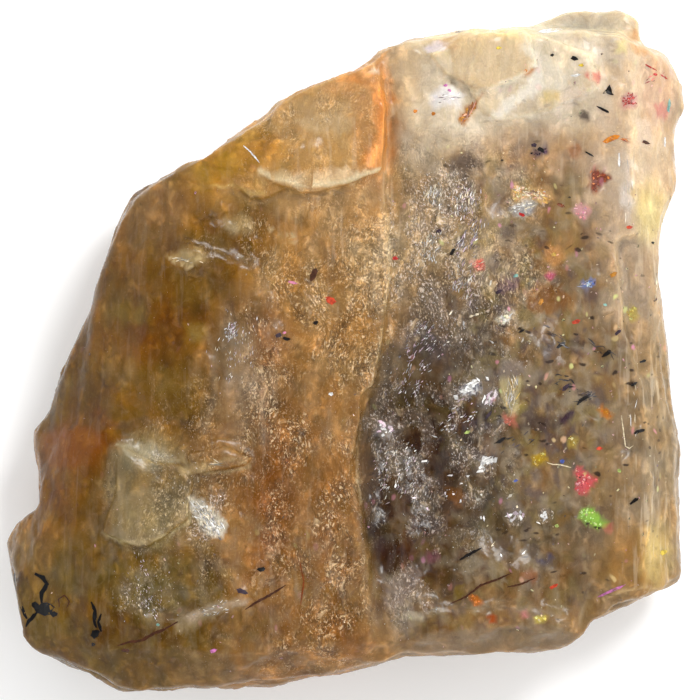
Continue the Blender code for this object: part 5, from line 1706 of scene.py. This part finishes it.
class SUNSTONE_OT_stage(bpy.types.Operator):
    """Add the pale floor, the soft light and the camera that looks straight down"""

    bl_idname = "sunstone.stage"
    bl_label = "Stage"

    def execute(self, context):
        settings = context.scene.sunstone.stage
        self.lay_floor(context, settings.floor_glow)
        self.light(context.scene, settings)
        context.scene.view_settings.view_transform = "Standard"
        self.aim(context.scene, settings.camera_height, settings.view_width)
        return {"FINISHED"}

    def lay_floor(self, context, glow):
        """A sheet of uncoated white paper: even and without shine, with light coming through it."""
        # A hair under the stone, so that the two flat faces aren't in one plane.
        bpy.ops.mesh.primitive_plane_add(size=1.2, location=(0.0, 0.0, -0.02 * MM))
        floor = context.object
        floor.name = "floor"
        paper = bpy.data.materials.new("paper_matt_white")
        paper.use_nodes = True
        shader = paper.node_tree.nodes["Principled BSDF"]
        shader.inputs["Base Color"].default_value = rgba("#f4f4f4")
        shader.inputs["Roughness"].default_value = 0.9
        shader.inputs["Emission Color"].default_value = WHITE
        shader.inputs["Emission Strength"].default_value = glow
        floor.data.materials.append(paper)

    def light(self, scene, settings):
        """A round light from the upper right, and a sky that is darker straight above."""
        light = bpy.data.lights.new("key", "AREA")
        light.shape = "DISK"
        light.size = 0.12
        light.energy = settings.key_power
        key = new_object("key", light)
        key.location = (0.15, 0.19, 0.3)
        key.rotation_euler = key.location.to_track_quat("Z", "Y").to_euler()

        world = bpy.data.worlds.new("sky")
        scene.world = world
        world.use_nodes = True
        tree = world.node_tree
        height = node(tree, "ShaderNodeTexCoord").outputs["Generated"]
        height = node(tree, "ShaderNodeSeparateXYZ", {0: height}).outputs["Z"]
        inputs = {0: height, 1: 0.8, 2: 0.95, 3: settings.sky, 4: settings.zenith}
        strength = node(tree, "ShaderNodeMapRange", inputs, interpolation_type="SMOOTHSTEP").outputs[0]
        background = tree.nodes["Background"]
        background.inputs["Color"].default_value = WHITE
        tree.links.new(strength, background.inputs["Strength"])

    def aim(self, scene, height, view_width):
        """The camera, which looks straight down and takes in view_width at a level within the stone."""
        lens = bpy.data.cameras.new("camera")
        lens.clip_start = 0.01
        lens.clip_end = 10.0
        lens.sensor_width = 36.0
        level = 5.0 * MM
        lens.lens = lens.sensor_width * (height - level) / view_width
        camera = new_object("camera", lens)
        camera.location = (*CAMERA_PLACE, height)
        scene.camera = camera


class SUNSTONE_PT_panel(bpy.types.Panel):
    """Lists the sunstone's pieces and settings"""

    bl_idname = "SUNSTONE_PT_panel"
    bl_label = "Rough sunstone"
    bl_space_type = "VIEW_3D"
    bl_region_type = "UI"
    bl_category = "Sunstone"

    def draw(self, context):
        settings = context.scene.sunstone
        for group in (settings.stone, settings.flakes, settings.stage):
            for name in group.bl_rna.properties.keys():
                if name not in ("rna_type", "name"):
                    self.layout.prop(group, name)
        for operator in PIECES:
            self.layout.operator(operator.bl_idname)


PIECES = (
    SUNSTONE_OT_skin, SUNSTONE_OT_platelets, SUNSTONE_OT_streaks, SUNSTONE_OT_sprays, SUNSTONE_OT_scatter,
    SUNSTONE_OT_stage,
)
CLASSES = (StoneSettings, FlakeSettings, StageSettings, SunstoneSettings, *PIECES, SUNSTONE_PT_panel)


def register():
    for cls in CLASSES:
        bpy.utils.register_class(cls)
    bpy.types.Scene.sunstone = PointerProperty(type=SunstoneSettings)


def unregister():
    del bpy.types.Scene.sunstone
    for cls in reversed(CLASSES):
        bpy.utils.unregister_class(cls)


def main():
    register()
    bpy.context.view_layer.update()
    bpy.ops.sunstone.skin()
    bpy.ops.sunstone.platelets()
    bpy.ops.sunstone.streaks()
    bpy.ops.sunstone.sprays()
    bpy.ops.sunstone.scatter()
    bpy.ops.sunstone.stage()


if __name__ == "__main__":
    main()
